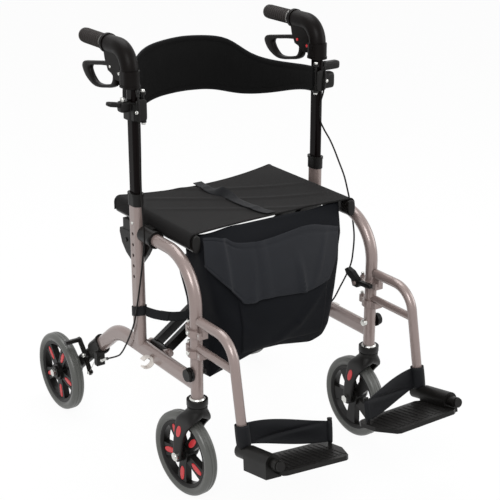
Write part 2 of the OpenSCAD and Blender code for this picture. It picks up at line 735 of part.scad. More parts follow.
function seat_sag(u, v) = 9 * (1 - u * u) * (0.75 + 0.25 * sin(180 * v));
function seat_lip(side, y, r) = [for (k = [-1:4]) let(a = max(0, 22.5 * k))
  [side * (seat_x + r * cos(a)), y, seat_z + 9 + r * sin(a) - (k < 0 ? 16 : 0)]];
function seat_sheet(y, v, r) = [for (k = [1:19]) let(u = -1 + k / 10)
  [u * seat_x, y, seat_z + 9 + r - seat_sag(u, v)]];
function reverse(a) = [for (i = [len(a) - 1:-1:0]) a[i]];
function seat_path(y, v, r) = concat(seat_lip(-1, y, r), seat_sheet(y, v, r), reverse(seat_lip(1, y, r)));
function seat_ring(y, v) = concat(seat_path(y, v, 13.2), reverse(seat_path(y, v, 10.7)));

// Open bag hung under the seat rails, with its front pouch
module bag() {
  front = -166;
  back = -54;
  top = seat_z - oval_h / 2 - 0.4;
  color(cloth) difference() {
    union() {
      bag_shape(front, back, 0, top);
      bag_pouch(front);
    }
    bag_shape(front + 3, back - 3, 3, top + 20);
    bag_pouch_hollow(front);
  }
}

module bag_shape(y0, y1, in, top) {
  translate([0, y1, 0]) rotate([90, 0, 0]) linear_extrude(y1 - y0)
    polygon([[-217 + in, top], [-203 + in, top - 30], [-160 + in, 384], [-136 + in, 306 + in],
      [-100, 298 + in], [0, 303 + in], [100, 298 + in], [136 - in, 306 + in], [160 - in, 384],
      [203 - in, top - 30], [217 - in, top]]);
}

module bag_pouch(front) {
  translate([0, front + 1, 0]) rotate([90, 0, 0]) linear_extrude(17)
    polygon([[-118, 440], [-60, 452], [40, 450], [128, 436], [118, 320], [60, 312], [-60, 312],
      [-112, 318]]);
}

module bag_pouch_hollow(front) {
  translate([0, front - 2.5, 0]) rotate([90, 0, 0]) linear_extrude(11)
    polygon([[-115, 470], [125, 470], [115, 323], [60, 315], [-60, 315], [-109, 321]]);
}

// Padded band bowed to the rear between the two clamps
function back_path(s) = let(
  a = 180 * s, c = cos(a), q = abs(c), k = pow(max(0, sin(a)), 0.75))
  [-228.5 * sign(c) * pow(q, 0.8), 34 + 214 * k];
function back_top(s) = clamp_z + lookup(min(s, 1 - s), [[0, 52], [0.05, 48], [0.1, 46], [0.15, 46],
  [0.2, 49], [0.25, 57], [0.29, 70], [0.32, 84], [0.35, 96], [0.38, 103], [0.42, 108], [0.5, 114]]);
function back_low(s) = clamp_z + lookup(min(s, 1 - s), [[0, -2], [0.05, -9], [0.1, -18], [0.16, -28],
  [0.22, -34], [0.27, -36], [0.32, -34], [0.37, -26], [0.42, -18], [0.5, -14]]);

module backrest() {
  n = 36;
  color(cloth) skin([for (i = [0:n]) back_ring(i / n)]);
}

function back_ring(s) = let(
  p = back_path(s),
  d = unit(back_path(min(1, s + 0.01)) - back_path(max(0, s - 0.01))),
  m = [d[1], -d[0]],
  h = back_top(s),
  l = back_low(s),
  w = 3 + 4 * smooth(clamp01(min(s, 1 - s) / 0.2)))
  [for (k = [0:11]) let(
    a = 30 * k + 15,
    z = (h + l) / 2 + (h - l) / 2 * sign(sin(a)) * pow(abs(sin(a)), 0.5),
    t = w * sign(cos(a)) * pow(abs(cos(a)), 0.8))
    [p[0] + m[0] * t, p[1] + m[1] * t, z]];

module brace_a() {
  color(black) brace_body(leg_a, true);
}

module brace_b() {
  color(black) mirror([1, 0, 0]) brace_body(leg_b, false);
}

// Sided parts

module lower_rail(side) { color(paint) at_side(side) lower_rail_body(); }
module upright(side) { color(paint) at_side(side) upright_body(); }
module front_tube(side) { color(paint) at_side(side) front_tube_body(); }
module upright_collar(side) { color(black) at_side(side) upright_collar_body(); }
module arch_bracket(side) { color(black) at_side(side) arch_bracket_body(); }
module wheel_socket(side) { color(black) at_side(side) wheel_socket_body(); }
module rear_axle(side) { color(steel) at_side(side) rear_axle_body(); }
module rail_knob(side) { color(black) at_side(side) rail_knob_body(); }
module rail_clip(side) { color([0.9, 0.9, 0.88]) at_side(side) rail_clip_body(); }
module rear_tyre(side) { color(grey) at_side(side) tyre_at(rear_x, axle_y); }
module rear_rim(side) { color(black) at_side(side) rim_at(rear_x, axle_y, axle_d / 2 + run, 64); }
module brake_arm(side) { color(black) at_side(side) brake_arm_body(); }
module caster_fork(side) { color(black) at_caster(side) caster_fork_body(); }
module caster_axle(side) { color(steel) at_caster(side) caster_axle_body(); }
module front_tyre(side) { color(grey) at_caster(side) tyre_at(front_x, front_y + trail); }
module front_rim(side) {
  color(black) at_caster(side) rim_at(front_x, front_y + trail, axle_d / 2 + run, 5);
}
module handle_tube(side) { color(black) at_side(side) handle_tube_body(); }
module handle_housing(side) { color(black) at_side(side) handle_housing_body(); }
module grip(side) { color(grey) at_side(side) grip_body(); }
module brake_lever(side) { color(black) at_side(side) brake_lever_body(); }
module backrest_clamp(side) { color(black) at_side(side) backrest_clamp_body(side < 0 ? 0 : 16); }
module brake_cable_left() { color(black) brake_cable_at(route_left); }
module brake_cable_right() { color(black) brake_cable_at(route_right); }
module hanger(side) { color(paint) at_side(side) { hanger_body(); latch_pin(); } }
module hanger_latch(side) { color(black) at_side(side) hanger_latch_body(); }
module foot_block(side) { color(black) at_side(side) foot_block_body(); }
module footplate(side) {
  color(black) at_side(side) footplate_body(side < 0 ? droop_left : droop_right);
}
module heel_strap(side) {
  color(cloth) at_side(side) heel_strap_body(side < 0 ? droop_left : droop_right);
}

lower_rail(-1);  // lower_rail_left
lower_rail(1);  // lower_rail_right
upright(-1);  // upright_left
upright(1);  // upright_right
front_tube(-1);  // front_tube_left
front_tube(1);  // front_tube_right
upright_collar(-1);  // upright_collar_left
upright_collar(1);  // upright_collar_right
arch_bracket(-1);  // arch_bracket_left
arch_bracket(1);  // arch_bracket_right
wheel_socket(-1);  // wheel_socket_left
wheel_socket(1);  // wheel_socket_right
rear_axle(-1);  // rear_axle_left
rear_axle(1);  // rear_axle_right
rail_knob(-1);  // rail_knob_left
rail_knob(1);  // rail_knob_right
rail_clip(-1);  // rail_clip_left
rail_clip(1);  // rail_clip_right
rear_tyre(-1);  // rear_tyre_left
rear_tyre(1);  // rear_tyre_right
rear_rim(-1);  // rear_rim_left
rear_rim(1);  // rear_rim_right
brake_arm(-1);  // brake_arm_left
brake_arm(1);  // brake_arm_right
caster_fork(-1);  // caster_fork_left
caster_fork(1);  // caster_fork_right
caster_axle(-1);  // caster_axle_left
caster_axle(1);  // caster_axle_right
front_tyre(-1);  // front_tyre_left
front_tyre(1);  // front_tyre_right
front_rim(-1);  // front_rim_left
front_rim(1);  // front_rim_right
handle_tube(-1);  // handle_tube_left
handle_tube(1);  // handle_tube_right
handle_housing(-1);  // handle_housing_left
handle_housing(1);  // handle_housing_right
grip(-1);  // grip_left
grip(1);  // grip_right
brake_lever(-1);  // brake_lever_left
brake_lever(1);  // brake_lever_right
backrest_clamp(-1);  // backrest_clamp_left
backrest_clamp(1);  // backrest_clamp_right
brake_cable_left();
brake_cable_right();
hanger(-1);  // hanger_left
hanger(1);  // hanger_right
hanger_latch(-1);  // hanger_latch_left
hanger_latch(1);  // hanger_latch_right
foot_block(-1);  // foot_block_left
foot_block(1);  // foot_block_right
footplate(-1);  // footplate_left
footplate(1);  // footplate_right
heel_strap(-1);  // heel_strap_left
heel_strap(1);  // heel_strap_right
brace_a();
brace_b();
seat();
bag();
backrest();
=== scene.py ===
"""Looks of a rollator transport chair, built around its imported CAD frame.

Most rigid pieces keep their CAD solids and take a real finish here. Soft goods, cables, caster
forks, brake levers and small fittings are surfaces worked out with numpy in the same frame. Sizes
are millimetres until a surface is built, where they become metres.
"""

import math

import bmesh
import bpy
import numpy as np
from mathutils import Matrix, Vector


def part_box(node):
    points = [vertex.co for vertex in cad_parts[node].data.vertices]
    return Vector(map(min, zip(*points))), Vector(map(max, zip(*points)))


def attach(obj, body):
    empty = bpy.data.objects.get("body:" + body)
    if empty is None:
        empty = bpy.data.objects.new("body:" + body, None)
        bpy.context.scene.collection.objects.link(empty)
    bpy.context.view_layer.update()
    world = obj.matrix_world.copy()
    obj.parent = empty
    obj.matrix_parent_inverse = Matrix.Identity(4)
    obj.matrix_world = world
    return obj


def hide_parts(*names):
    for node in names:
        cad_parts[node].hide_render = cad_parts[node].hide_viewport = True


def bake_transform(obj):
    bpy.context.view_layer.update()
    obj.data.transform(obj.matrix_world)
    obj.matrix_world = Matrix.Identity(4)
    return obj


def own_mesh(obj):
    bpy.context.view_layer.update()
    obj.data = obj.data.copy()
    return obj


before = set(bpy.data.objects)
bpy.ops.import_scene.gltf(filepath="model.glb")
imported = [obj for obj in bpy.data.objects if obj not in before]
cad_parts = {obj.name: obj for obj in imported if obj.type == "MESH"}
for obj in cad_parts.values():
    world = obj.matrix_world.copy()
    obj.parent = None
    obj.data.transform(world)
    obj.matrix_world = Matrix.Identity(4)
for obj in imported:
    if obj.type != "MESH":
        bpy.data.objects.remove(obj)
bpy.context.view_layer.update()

bl_info = {
    "name": "Rollator transport chair",
    "version": (1, 0, 0),
    "blender": (4, 5, 0),
    "location": "View3D > Sidebar > Chair",
    "description": "Dresses the packed frame of a rollator transport chair",
    "category": "Object",
}

MM = 0.001
SIDES = {"left": -1, "right": 1}

# Places and sizes of the frame that the new pieces are set against, in millimetres.
# Seat rails: distance from the middle, height, middle of the upper round, its radius and the ends
SEAT_X = 212
SEAT_Z = 593
RAIL_TOP = SEAT_Z + 9
RAIL_R = 10
RAIL_ENDS = (-139, 192)
# Front and rear edge of the sling
SEAT_FRONT = -133
SEAT_REAR = 190
# Backrest: the right hinge in plan, the hinges' foot, and half the band's width
HINGE = (234, 31)
CLAMP_Z = 837
BACK_HALF = 228.5
# Footrest: the right plate's hinge on the hanger's leg, the leg's tilt, and the strap's post from there
FOOT_ORIGIN = (243, -366, 206)
FOOT_TILT = 11
POST = (-190, -46)
# Caster stem in plan, and each side's caster turn and footplate droop at rest in degrees
STEM = (243, -183)
TURN = {"left": 5.5, "right": 0.0}
DROOP = {"left": 5.0, "right": 0.0}
# Brake cables from the housing to the brake
CABLE_ROUTES = {
    "left": [(-252, 22, 903), (-256, 10, 860), (-262, 0, 780), (-266, -5, 690), (-267, -14, 591),
             (-267, -11, 558), (-266, 2, 506), (-266, 15, 455), (-267, 29, 401), (-266, 46, 356),
             (-266, 65, 321), (-266, 89, 284), (-265, 113, 255), (-264, 138, 236),
             (-263, 205, 201), (-262, 232, 186)],
    "right": [(252, 22, 903), (250, 16, 868), (247, 17, 832), (245, 26, 800), (247, 28, 762),
             (255, 23, 738), (258, 4, 717), (259, -13, 696), (260, -32, 668), (261, -51, 639),
             (262, -64, 607), (262, -76, 575), (262, -87, 535), (263, -92, 500), (263, -90, 462),
             (264, -80, 420), (265, -46, 358), (266, 0, 292), (266, 80, 250), (265, 150, 215),
             (262, 198, 191), (262, 232, 186)],
}

# Camera of the photograph, from a fit of known points of the frame
CAMERA_AT = (-1606.9, -2349.8, 1570.2)
CAMERA_AZIMUTH = -34.776
CAMERA_ELEVATION = 20.753
CAMERA_LENS = 93.958
SENSOR = 36.0


def linear(code):
    """Linear RGBA of an sRGB hex colour, by the sRGB curve."""
    srgb = np.array([int(code[i:i + 2], 16) for i in (1, 3, 5)]) / 255
    rgb = np.where(srgb <= 0.04045, srgb / 12.92, ((srgb + 0.055) / 1.055) ** 2.4)
    return (*rgb.tolist(), 1.0)


def colour(name, code, text):
    """A colour property that starts at a hex value."""
    return bpy.props.FloatVectorProperty(
        name=name, description=text, subtype="COLOR", size=4, min=0, max=1, default=linear(code))


def size(name, value, text):
    """A length property in metres."""
    return bpy.props.FloatProperty(name=name, description=text, unit="LENGTH", min=0, default=value)


class ChairFinish(bpy.types.PropertyGroup):
    """Colours of the finishes"""

    paint: colour("Frame paint", "#867773", "Champagne powder coat of the frame tubes")
    plastic: colour("Moulded plastic", "#0F0E0D", "Glass-filled nylon of brackets, forks and rims")
    tyre: colour("Tyre", "#4E4F4C", "Grey polyurethane of the tyres")
    accent: colour("Inserts", "#C02A30", "Red inserts of the wheels and forks")
    seat: colour("Seat fabric", "#141313", "Charcoal polyester of the seat sling")
    bag: colour("Bag fabric", "#14161B", "Blue-black oxford cloth of the bag")
    back: colour("Backrest fabric", "#0A0A0A", "Black knit of the backrest band")


class ChairSizes(bpy.types.PropertyGroup):
    """Sizes of the soft goods"""

    cable: size("Cable diameter", 0.004, "Outer diameter of the brake cables")
    strap: size("Pull strap width", 0.024, "Width of the webbing that lifts the seat")
    seat_sag: size("Seat sag", 0.009, "How far the middle of the sling hangs below the rails")
    cloth: size("Cloth thickness", 0.0018, "Thickness of the bag's cloth")


# Shader nodes and materials


def add(tree, kind, feeds=None, **settings):
    """Adds a shader node: settings are its properties, feeds are socket values or links into it."""
    node = tree.nodes.new("ShaderNode" + kind)
    for key, value in settings.items():
        setattr(node, key, value)
    for socket, source in (feeds or {}).items():
        if isinstance(source, bpy.types.NodeSocket):
            tree.links.new(source, node.inputs[socket])
        else:
            node.inputs[socket].default_value = source
    return node


def emptied(data):
    """The node tree of a material or a world, cleared of the nodes it starts with."""
    data.use_nodes = True
    data.node_tree.nodes.clear()
    return data.node_tree


def new_material(name, look):
    """A new material with one Principled shader, and the coordinates its patterns read."""
    material = bpy.data.materials.new(name)
    tree = emptied(material)
    shader = add(tree, "BsdfPrincipled", look)
    add(tree, "OutputMaterial", {"Surface": shader.outputs[0]})
    return material, tree, shader, add(tree, "TexCoord")


def shade(rgba, factor):
    """The colour made darker or lighter by a factor."""
    return (*[min(1.0, c * factor) for c in rgba[:3]], 1.0)


def grained(name, rgba, look, grain, depth, mottle, spread):
    """Plain stock with a fine surface grain: noise of the grain's size in mm lifts the surface, and
    wider noise of the mottle's size varies the colour by the spread and the roughness a little."""
    material, tree, shader, coord = new_material(name, look)
    fine = add(tree, "TexNoise", {"Vector": coord.outputs["Object"], "Scale": 1 / (grain * MM),
                                  "Detail": 3.0, "Roughness": 0.6})
    wide = add(tree, "TexNoise", {"Vector": coord.outputs["Object"], "Scale": 1 / (mottle * MM),
                                  "Detail": 4.0, "Roughness": 0.55})
    tone = add(tree, "MixRGB", {"Fac": wide.outputs["Fac"], "Color1": shade(rgba, 1 - spread),
                                "Color2": shade(rgba, 1 + spread)})
    rough = look["Roughness"]
    gloss = add(tree, "MapRange", {"Value": wide.outputs["Fac"], "From Min": 0.3, "From Max": 0.7,
                                   "To Min": rough * 0.88, "To Max": min(1.0, rough * 1.12)})
    bump = add(tree, "Bump", {"Height": fine.outputs["Fac"], "Strength": 0.35, "Distance": depth * MM})
    tree.links.new(tone.outputs["Color"], shader.inputs["Base Color"])
    tree.links.new(gloss.outputs["Result"], shader.inputs["Roughness"])
    tree.links.new(bump.outputs["Normal"], shader.inputs["Normal"])
    return material


def woven(name, rgba, look, thread, depth, spread):
    """Cloth of crossing threads: two waves along the piece's UV map, one thread apart, lift the
    surface where both are high, and slow noise fades the dye."""
    material, tree, shader, coord = new_material(name, look)
    scale = 2 * math.pi / (20 * thread * MM)
    warp, weft = [add(tree, "TexWave", {"Vector": coord.outputs["UV"], "Scale": scale}, bands_direction=way)
                  for way in "XY"]
    cross = add(tree, "Math", {0: warp.outputs["Fac"], 1: weft.outputs["Fac"]}, operation="MULTIPLY")
    dye = add(tree, "TexNoise", {"Vector": coord.outputs["Object"], "Scale": 22.0, "Detail": 5.0,
                                 "Roughness": 0.6})
    worn = add(tree, "Math", {0: cross.outputs[0], 1: dye.outputs["Fac"]}, operation="ADD")
    level = add(tree, "MapRange", {"Value": worn.outputs[0], "From Min": 0.3, "From Max": 1.3})
    tone = add(tree, "MixRGB", {"Fac": level.outputs["Result"], "Color1": shade(rgba, 1 - spread),
                                "Color2": shade(rgba, 1 + spread)})
    bump = add(tree, "Bump", {"Height": cross.outputs[0], "Strength": 0.5, "Distance": depth * MM})
    tree.links.new(tone.outputs["Color"], shader.inputs["Base Color"])
    tree.links.new(bump.outputs["Normal"], shader.inputs["Normal"])
    return material


def satin(roughness, specular):
    """Shader inputs of a plain surface: its roughness and how strongly it mirrors."""
    return {"Roughness": roughness, "Specular IOR Level": specular}


def napped(roughness, specular, sheen, fuzz):
    """Shader inputs of cloth: a plain surface with the sheen of loose fibres and its roughness."""
    return {**satin(roughness, specular), "Sheen Weight": sheen, "Sheen Roughness": fuzz}


def make_materials(finish):
    """Every finish by its short name. Grain, depth, mottle and thread are in millimetres."""
    made = {}
    # Metallic powder coat: a pearl colour under a clear film, with the orange peel of baked powder
    made["paint"] = grained(
        "champagne_powder_coat", finish.paint,
        {"Metallic": 0.35, "Roughness": 0.32, "Coat Weight": 0.55, "Coat Roughness": 0.06},
        grain=1.6, depth=0.05, mottle=60, spread=0.05)
    # Anodised aluminium tube: deep black, drawn, so it keeps a tight sheen along its length
    made["anodised"] = grained(
        "black_anodised_aluminium", linear("#0A0606"), satin(0.2, 0.06),
        grain=1.1, depth=0.02, mottle=45, spread=0.18)
    # Glass-filled nylon: spark-eroded mould texture that scatters the highlight
    made["nylon"] = grained(
        "moulded_glass_filled_nylon", finish.plastic, satin(0.4, 0.2),
        grain=1.3, depth=0.10, mottle=30, spread=0.16)
    # ABS shell of the handle: warm black, with a coarser and shallower mould grain
    made["abs"] = grained(
        "moulded_abs", linear("#0B0807"), satin(0.4, 0.09),
        grain=1.5, depth=0.08, mottle=36, spread=0.14)
    # Thermoplastic rubber of the grips: warm black, soft, nearly matt
    made["rubber"] = grained(
        "thermoplastic_rubber", linear("#1E1917"), satin(0.6, 0.3),
        grain=1.2, depth=0.14, mottle=24, spread=0.2)
    # Polyurethane tyre: grey, satin, with a faint bloom of dust
    made["tyre"] = grained(
        "cast_polyurethane", finish.tyre, satin(0.34, 0.45),
        grain=1.8, depth=0.08, mottle=26, spread=0.12)
    # Zinc plated steel of bolts and nuts: bright, with tumbling marks
    made["zinc"] = grained(
        "zinc_plated_steel", linear("#CFCFCB"), {"Metallic": 1.0, "Roughness": 0.26},
        grain=0.9, depth=0.03, mottle=9, spread=0.10)
    # Stove enamel over steel of the braces and brake arms
    made["enamel"] = grained(
        "black_stove_enamel", linear("#0F0D0C"), satin(0.32, 0.35),
        grain=2.2, depth=0.05, mottle=40, spread=0.15)
    # Natural nylon of the rail clips: milky, satin, a little grey with use
    made["clip"] = grained(
        "natural_nylon", linear("#CDC7C1"), {"Roughness": 0.4},
        grain=1.5, depth=0.04, mottle=18, spread=0.05)
    # Polypropylene inserts: clean saturated red
    made["accent"] = grained(
        "red_polypropylene", finish.accent, {"Roughness": 0.4},
        grain=1.2, depth=0.05, mottle=12, spread=0.12)
    # Cable jacket: soft black PVC
    made["jacket"] = grained(
        "black_pvc_jacket", linear("#0C0A09"), satin(0.45, 0.15),
        grain=1.0, depth=0.03, mottle=30, spread=0.12)
    # Canvas of the sling: dull polyester; here and in the other cloths the threads are drawn about
    # four times as wide as real ones, so that they show
    made["seat"] = woven(
        "charcoal_polyester_canvas", finish.seat, napped(0.82, 0.13, 0.015, 0.5),
        thread=2.4, depth=0.35, spread=0.2)
    # Oxford cloth of the bag's flap: a plain weave with a soft gloss
    made["bag"] = woven(
        "blue_black_oxford_cloth", finish.bag, napped(0.7, 0.22, 0.03, 0.45),
        thread=2.2, depth=0.3, spread=0.2)
    # The same cloth on the bag's body, its colour halved as painted shade: the shade under the seat and the
    # flap is painted into it
    made["bag_body"] = woven(
        "blue_black_oxford_cloth_painted_shade", shade(finish.bag, 0.5), napped(0.76, 0.1, 0.01, 0.45),
        thread=2.2, depth=0.3, spread=0.2)
    # Spacer knit of the backrest: open, soft and matt
    made["back"] = woven(
        "black_spacer_knit", finish.back, napped(0.9, 0.12, 0.01, 0.6),
        thread=2.6, depth=0.4, spread=0.25)
    # Polypropylene webbing of the straps: coarse ribs with a slight gloss
    made["webbing"] = woven(
        "black_polypropylene_webbing", linear("#0F1013"), napped(0.7, 0.2, 0.02, 0.4),
        thread=2.0, depth=0.45, spread=0.22)
    return made


# Surfaces


def grid_quads(rows, cols, close_rows, close_cols):
    """Quads of a grid numbered row by row; a closed direction joins its last line to its first."""
    r = np.arange(rows if close_rows else rows - 1)
    c = np.arange(cols if close_cols else cols - 1)
    r, c = np.meshgrid(r, c, indexing="ij")
    r2 = (r + 1) % rows
    c2 = (c + 1) % cols
    quads = np.stack([r * cols + c, r * cols + c2, r2 * cols + c2, r2 * cols + c], axis=-1)
    return quads.reshape(-1, 4)


def surface(name, grids, material, closed=True, close_rows=False, close_cols=False, caps=False,
            uv=None, sharp=40):
    """A mesh object from grids of points in millimetres, of shape (parts, rows, cols, 3) or one
    part less. A closed body has its doubles merged and its faces turned outwards."""
    grids = np.asarray(grids, float)
    if grids.ndim == 3:
        grids = grids[None]
    parts, rows, cols = grids.shape[:3]
    quads = grid_quads(rows, cols, close_rows, close_cols)
    starts = np.arange(parts) * rows * cols
    faces = (quads[None] + starts[:, None, None]).reshape(-1, 4).tolist()
    if caps:
        ring = np.arange(cols)
        ends = np.stack([ring, ring + (rows - 1) * cols])
        faces += (ends[None] + starts[:, None, None]).reshape(-1, cols).tolist()
    mesh = bpy.data.meshes.new(name)
    mesh.from_pydata((grids.reshape(-1, 3) * MM).tolist(), [], faces)
    if uv is not None:
        loops = np.empty(len(mesh.loops), np.int32)
        mesh.loops.foreach_get("vertex_index", loops)
        layer = mesh.uv_layers.new(name="UVMap")
        spread = np.asarray(uv, float).reshape(-1, 2)[loops] * MM
        layer.data.foreach_set("uv", spread.astype(np.float32).ravel())
    if closed:
        work = bmesh.new()
        work.from_mesh(mesh)
        bmesh.ops.remove_doubles(work, verts=work.verts, dist=1e-6)
        bmesh.ops.recalc_face_normals(work, faces=work.faces)
        work.to_mesh(mesh)
        work.free()
    mesh.polygons.foreach_set("use_smooth", np.ones(len(mesh.polygons), bool))
    mesh.set_sharp_from_angle(angle=math.radians(sharp))
    mesh.materials.append(material)
    piece = bpy.data.objects.new(name, mesh)
    bpy.context.scene.collection.objects.link(piece)
    return piece


def thicken(piece, thickness, offset=-1.0):
    """Gives a sheet its thickness in millimetres: below its faces where offset is -1, on both sides
    of them where it is 0."""
    wall = piece.modifiers.new("thickness", "SOLIDIFY")
    wall.thickness = thickness * MM
    wall.offset = offset
    wall.use_even_offset = True
    return piece


def fabric(name, grid, material, thickness, offset=-1.0):
    """A sheet of cloth from one grid of points, mapped flat and given its thickness."""
    sheet = surface(name, grid, material, closed=False, uv=flat_map(grid))
    return thicken(sheet, thickness, offset)


def through(points, count):
    """A smooth line of count points through the given ones: uniform Catmull-Rom spans."""
    p = np.asarray(points, float)
    t = np.linspace(0, len(p) - 1, count)
    i = np.minimum(t.astype(int), len(p) - 2)
    f = (t - i)[:, None]
    a, b, c, d = p[np.maximum(i - 1, 0)], p[i], p[i + 1], p[np.minimum(i + 2, len(p) - 1)]
    return 0.5 * (2 * b + (c - a) * f + (2 * a - 5 * b + 4 * c - d) * f ** 2
                  + (3 * b - a - 3 * c + d) * f ** 3)


def lengths(path):
    """Distance along a path at each of its points."""
    return np.concatenate([[0], np.cumsum(np.linalg.norm(np.diff(path, axis=0), axis=1))])


def unit(v):
    """Vectors at length one."""
    return v / np.linalg.norm(v, axis=-1, keepdims=True)


def around(count):
    """Angles of the points of a closed ring."""
    return np.linspace(0, 2 * np.pi, count, endpoint=False)


def squared(wave, power):
    """A sine or cosine raised to a power with its sign kept: below 1 it turns a circle squarish."""
    return np.sign(wave) * np.abs(wave) ** power


def tube(path, radius, reference, sides):
    """Rings of a round tube: a circle carried along a path, square to it. Radius may vary."""
    path = np.asarray(path, float)
    along = unit(np.gradient(path, axis=0))
    u = unit(np.cross(along, np.broadcast_to(np.asarray(reference, float), path.shape)))
    v = np.cross(along, u)
    a = around(sides)[None, :, None]
    radius = np.broadcast_to(np.asarray(radius, float), len(path))[:, None, None]
    ring = u[:, None] * np.cos(a) + v[:, None] * np.sin(a)
    return path[:, None] + ring * radius


def rod(name, path, radius, reference, sides, material):
    """A round rod along a path, closed at both ends."""
    return surface(name, tube(path, radius, reference, sides), material, close_cols=True, caps=True)


def button(centre, normal, up, length, width, height, square=2.0, sides=28, sink=1.0):
    """Rings of a crowned boss: super-ellipses of the given length along up and width across it,
    which shrink to the top of a dome of that height, with a skirt sunk below the seat face."""
    n = unit(np.asarray(normal, float))
    v = unit(np.asarray(up, float))
    u = np.cross(v, n)
    a = around(sides)
    x = squared(np.cos(a), 2 / square) * width / 2
    y = squared(np.sin(a), 2 / square) * length / 2
    outline = u * x[:, None] + v * y[:, None]
    shrink = np.array([1, 1, 0.985, 0.94, 0.82, 0.6, 0.3, 0.0])
    lift = np.array([-sink, 0.45, 0.7, 0.86, 0.95, 0.99, 1.0, 1.0])
    lift[1:] *= height
    return np.asarray(centre, float) + outline[None] * shrink[:, None, None] + n * lift[:, None, None]


def bar(start, end, up, wide, thick):
    """Rings of a moulded bar with soft edges: rounded rectangles carried from start to end, which
    close in quickly at both ends."""
    start, end = np.asarray(start, float), np.asarray(end, float)
    along = unit(end - start)
    u = unit(np.cross(along, np.asarray(up, float)))
    v = np.cross(u, along)
    t = (1 - np.cos(np.linspace(0, np.pi, 25))) / 2
    fill = np.clip(1 - np.abs(2 * t - 1) ** 9, 0, 1) ** 0.4
    a = around(32)
    x = squared(np.cos(a), 0.45) * wide / 2
    y = squared(np.sin(a), 0.45) * thick / 2
    section = u * x[:, None] + v * y[:, None]
    return start + (end - start) * t[:, None, None] + section[None] * fill[:, None, None]


def mirrored(points, side):
    """Points designed on the right side, set on the given side."""
    return np.asarray(points, float) * np.array([side, 1, 1])


def point_grid(x, y, z):
    """A grid of points from its coordinates, each of which may be constant along rows or columns."""
    return np.stack(np.broadcast_arrays(x, y, z), axis=-1)


def turned(v, degrees):
    """Vectors turned about the vertical."""
    c, s = math.cos(math.radians(degrees)), math.sin(math.radians(degrees))
    x, y, z = np.moveaxis(v, -1, 0)
    return np.stack([x * c - y * s, x * s + y * c, z], axis=-1)


def coons(top, bottom, left, right):
    """A patch between four edge lines: the sum of the two ruled surfaces less the bilinear one."""
    rows, cols = len(left), len(top)
    u = np.linspace(0, 1, cols)[None, :, None]
    v = np.linspace(0, 1, rows)[:, None, None]
    ruled = (1 - v) * top[None] + v * bottom[None] + (1 - u) * left[:, None] + u * right[:, None]
    corners = ((1 - u) * (1 - v) * top[0] + u * (1 - v) * top[-1]
               + (1 - u) * v * bottom[0] + u * v * bottom[-1])
    return ruled - corners


def flat_map(grid):
    """UV of a sheet in millimetres: mean distance along its rows and down its columns."""
    across = np.linalg.norm(np.diff(grid, axis=1), axis=2).mean(axis=0)
    down = np.linalg.norm(np.diff(grid, axis=0), axis=2).mean(axis=1)
    u = np.concatenate([[0], np.cumsum(across)])
    v = np.concatenate([[0], np.cumsum(down)])
    return np.stack(np.meshgrid(u, v), axis=-1)


def ridge(distance, width):
    """A soft fold: a bell curve of the distance from its line."""
    return np.exp(-(distance / width) ** 2)


def line_distance(x, z, a, b):
    """Distance of points from the segment between a and b."""
    a, b = np.asarray(a, float), np.asarray(b, float)
    d = b - a
    t = np.clip(((x - a[0]) * d[0] + (z - a[1]) * d[1]) / (d @ d), 0, 1)
    return np.hypot(x - a[0] - t * d[0], z - a[1] - t * d[1])


def smooth(t):
    """Eases from 0 to 1."""
    t = np.clip(t, 0, 1)
    return t * t * (3 - 2 * t)


def settle(piece, body, slot, *nodes):
    """Rides a piece on a body and hides the CAD nodes it stands for; the slot is not used."""
    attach(piece, body)
    if nodes:
        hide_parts(*nodes)
    return piece


def both(name):
    """The left and right node of a name."""
    return [f"{name}_{side}" for side in SIDES]


def finishes():
    """The materials, made once."""
    if not hasattr(finishes, "made"):
        finishes.made = make_materials(bpy.context.scene.chair_finish)
    return finishes.made


# Operators, one for each group of pieces


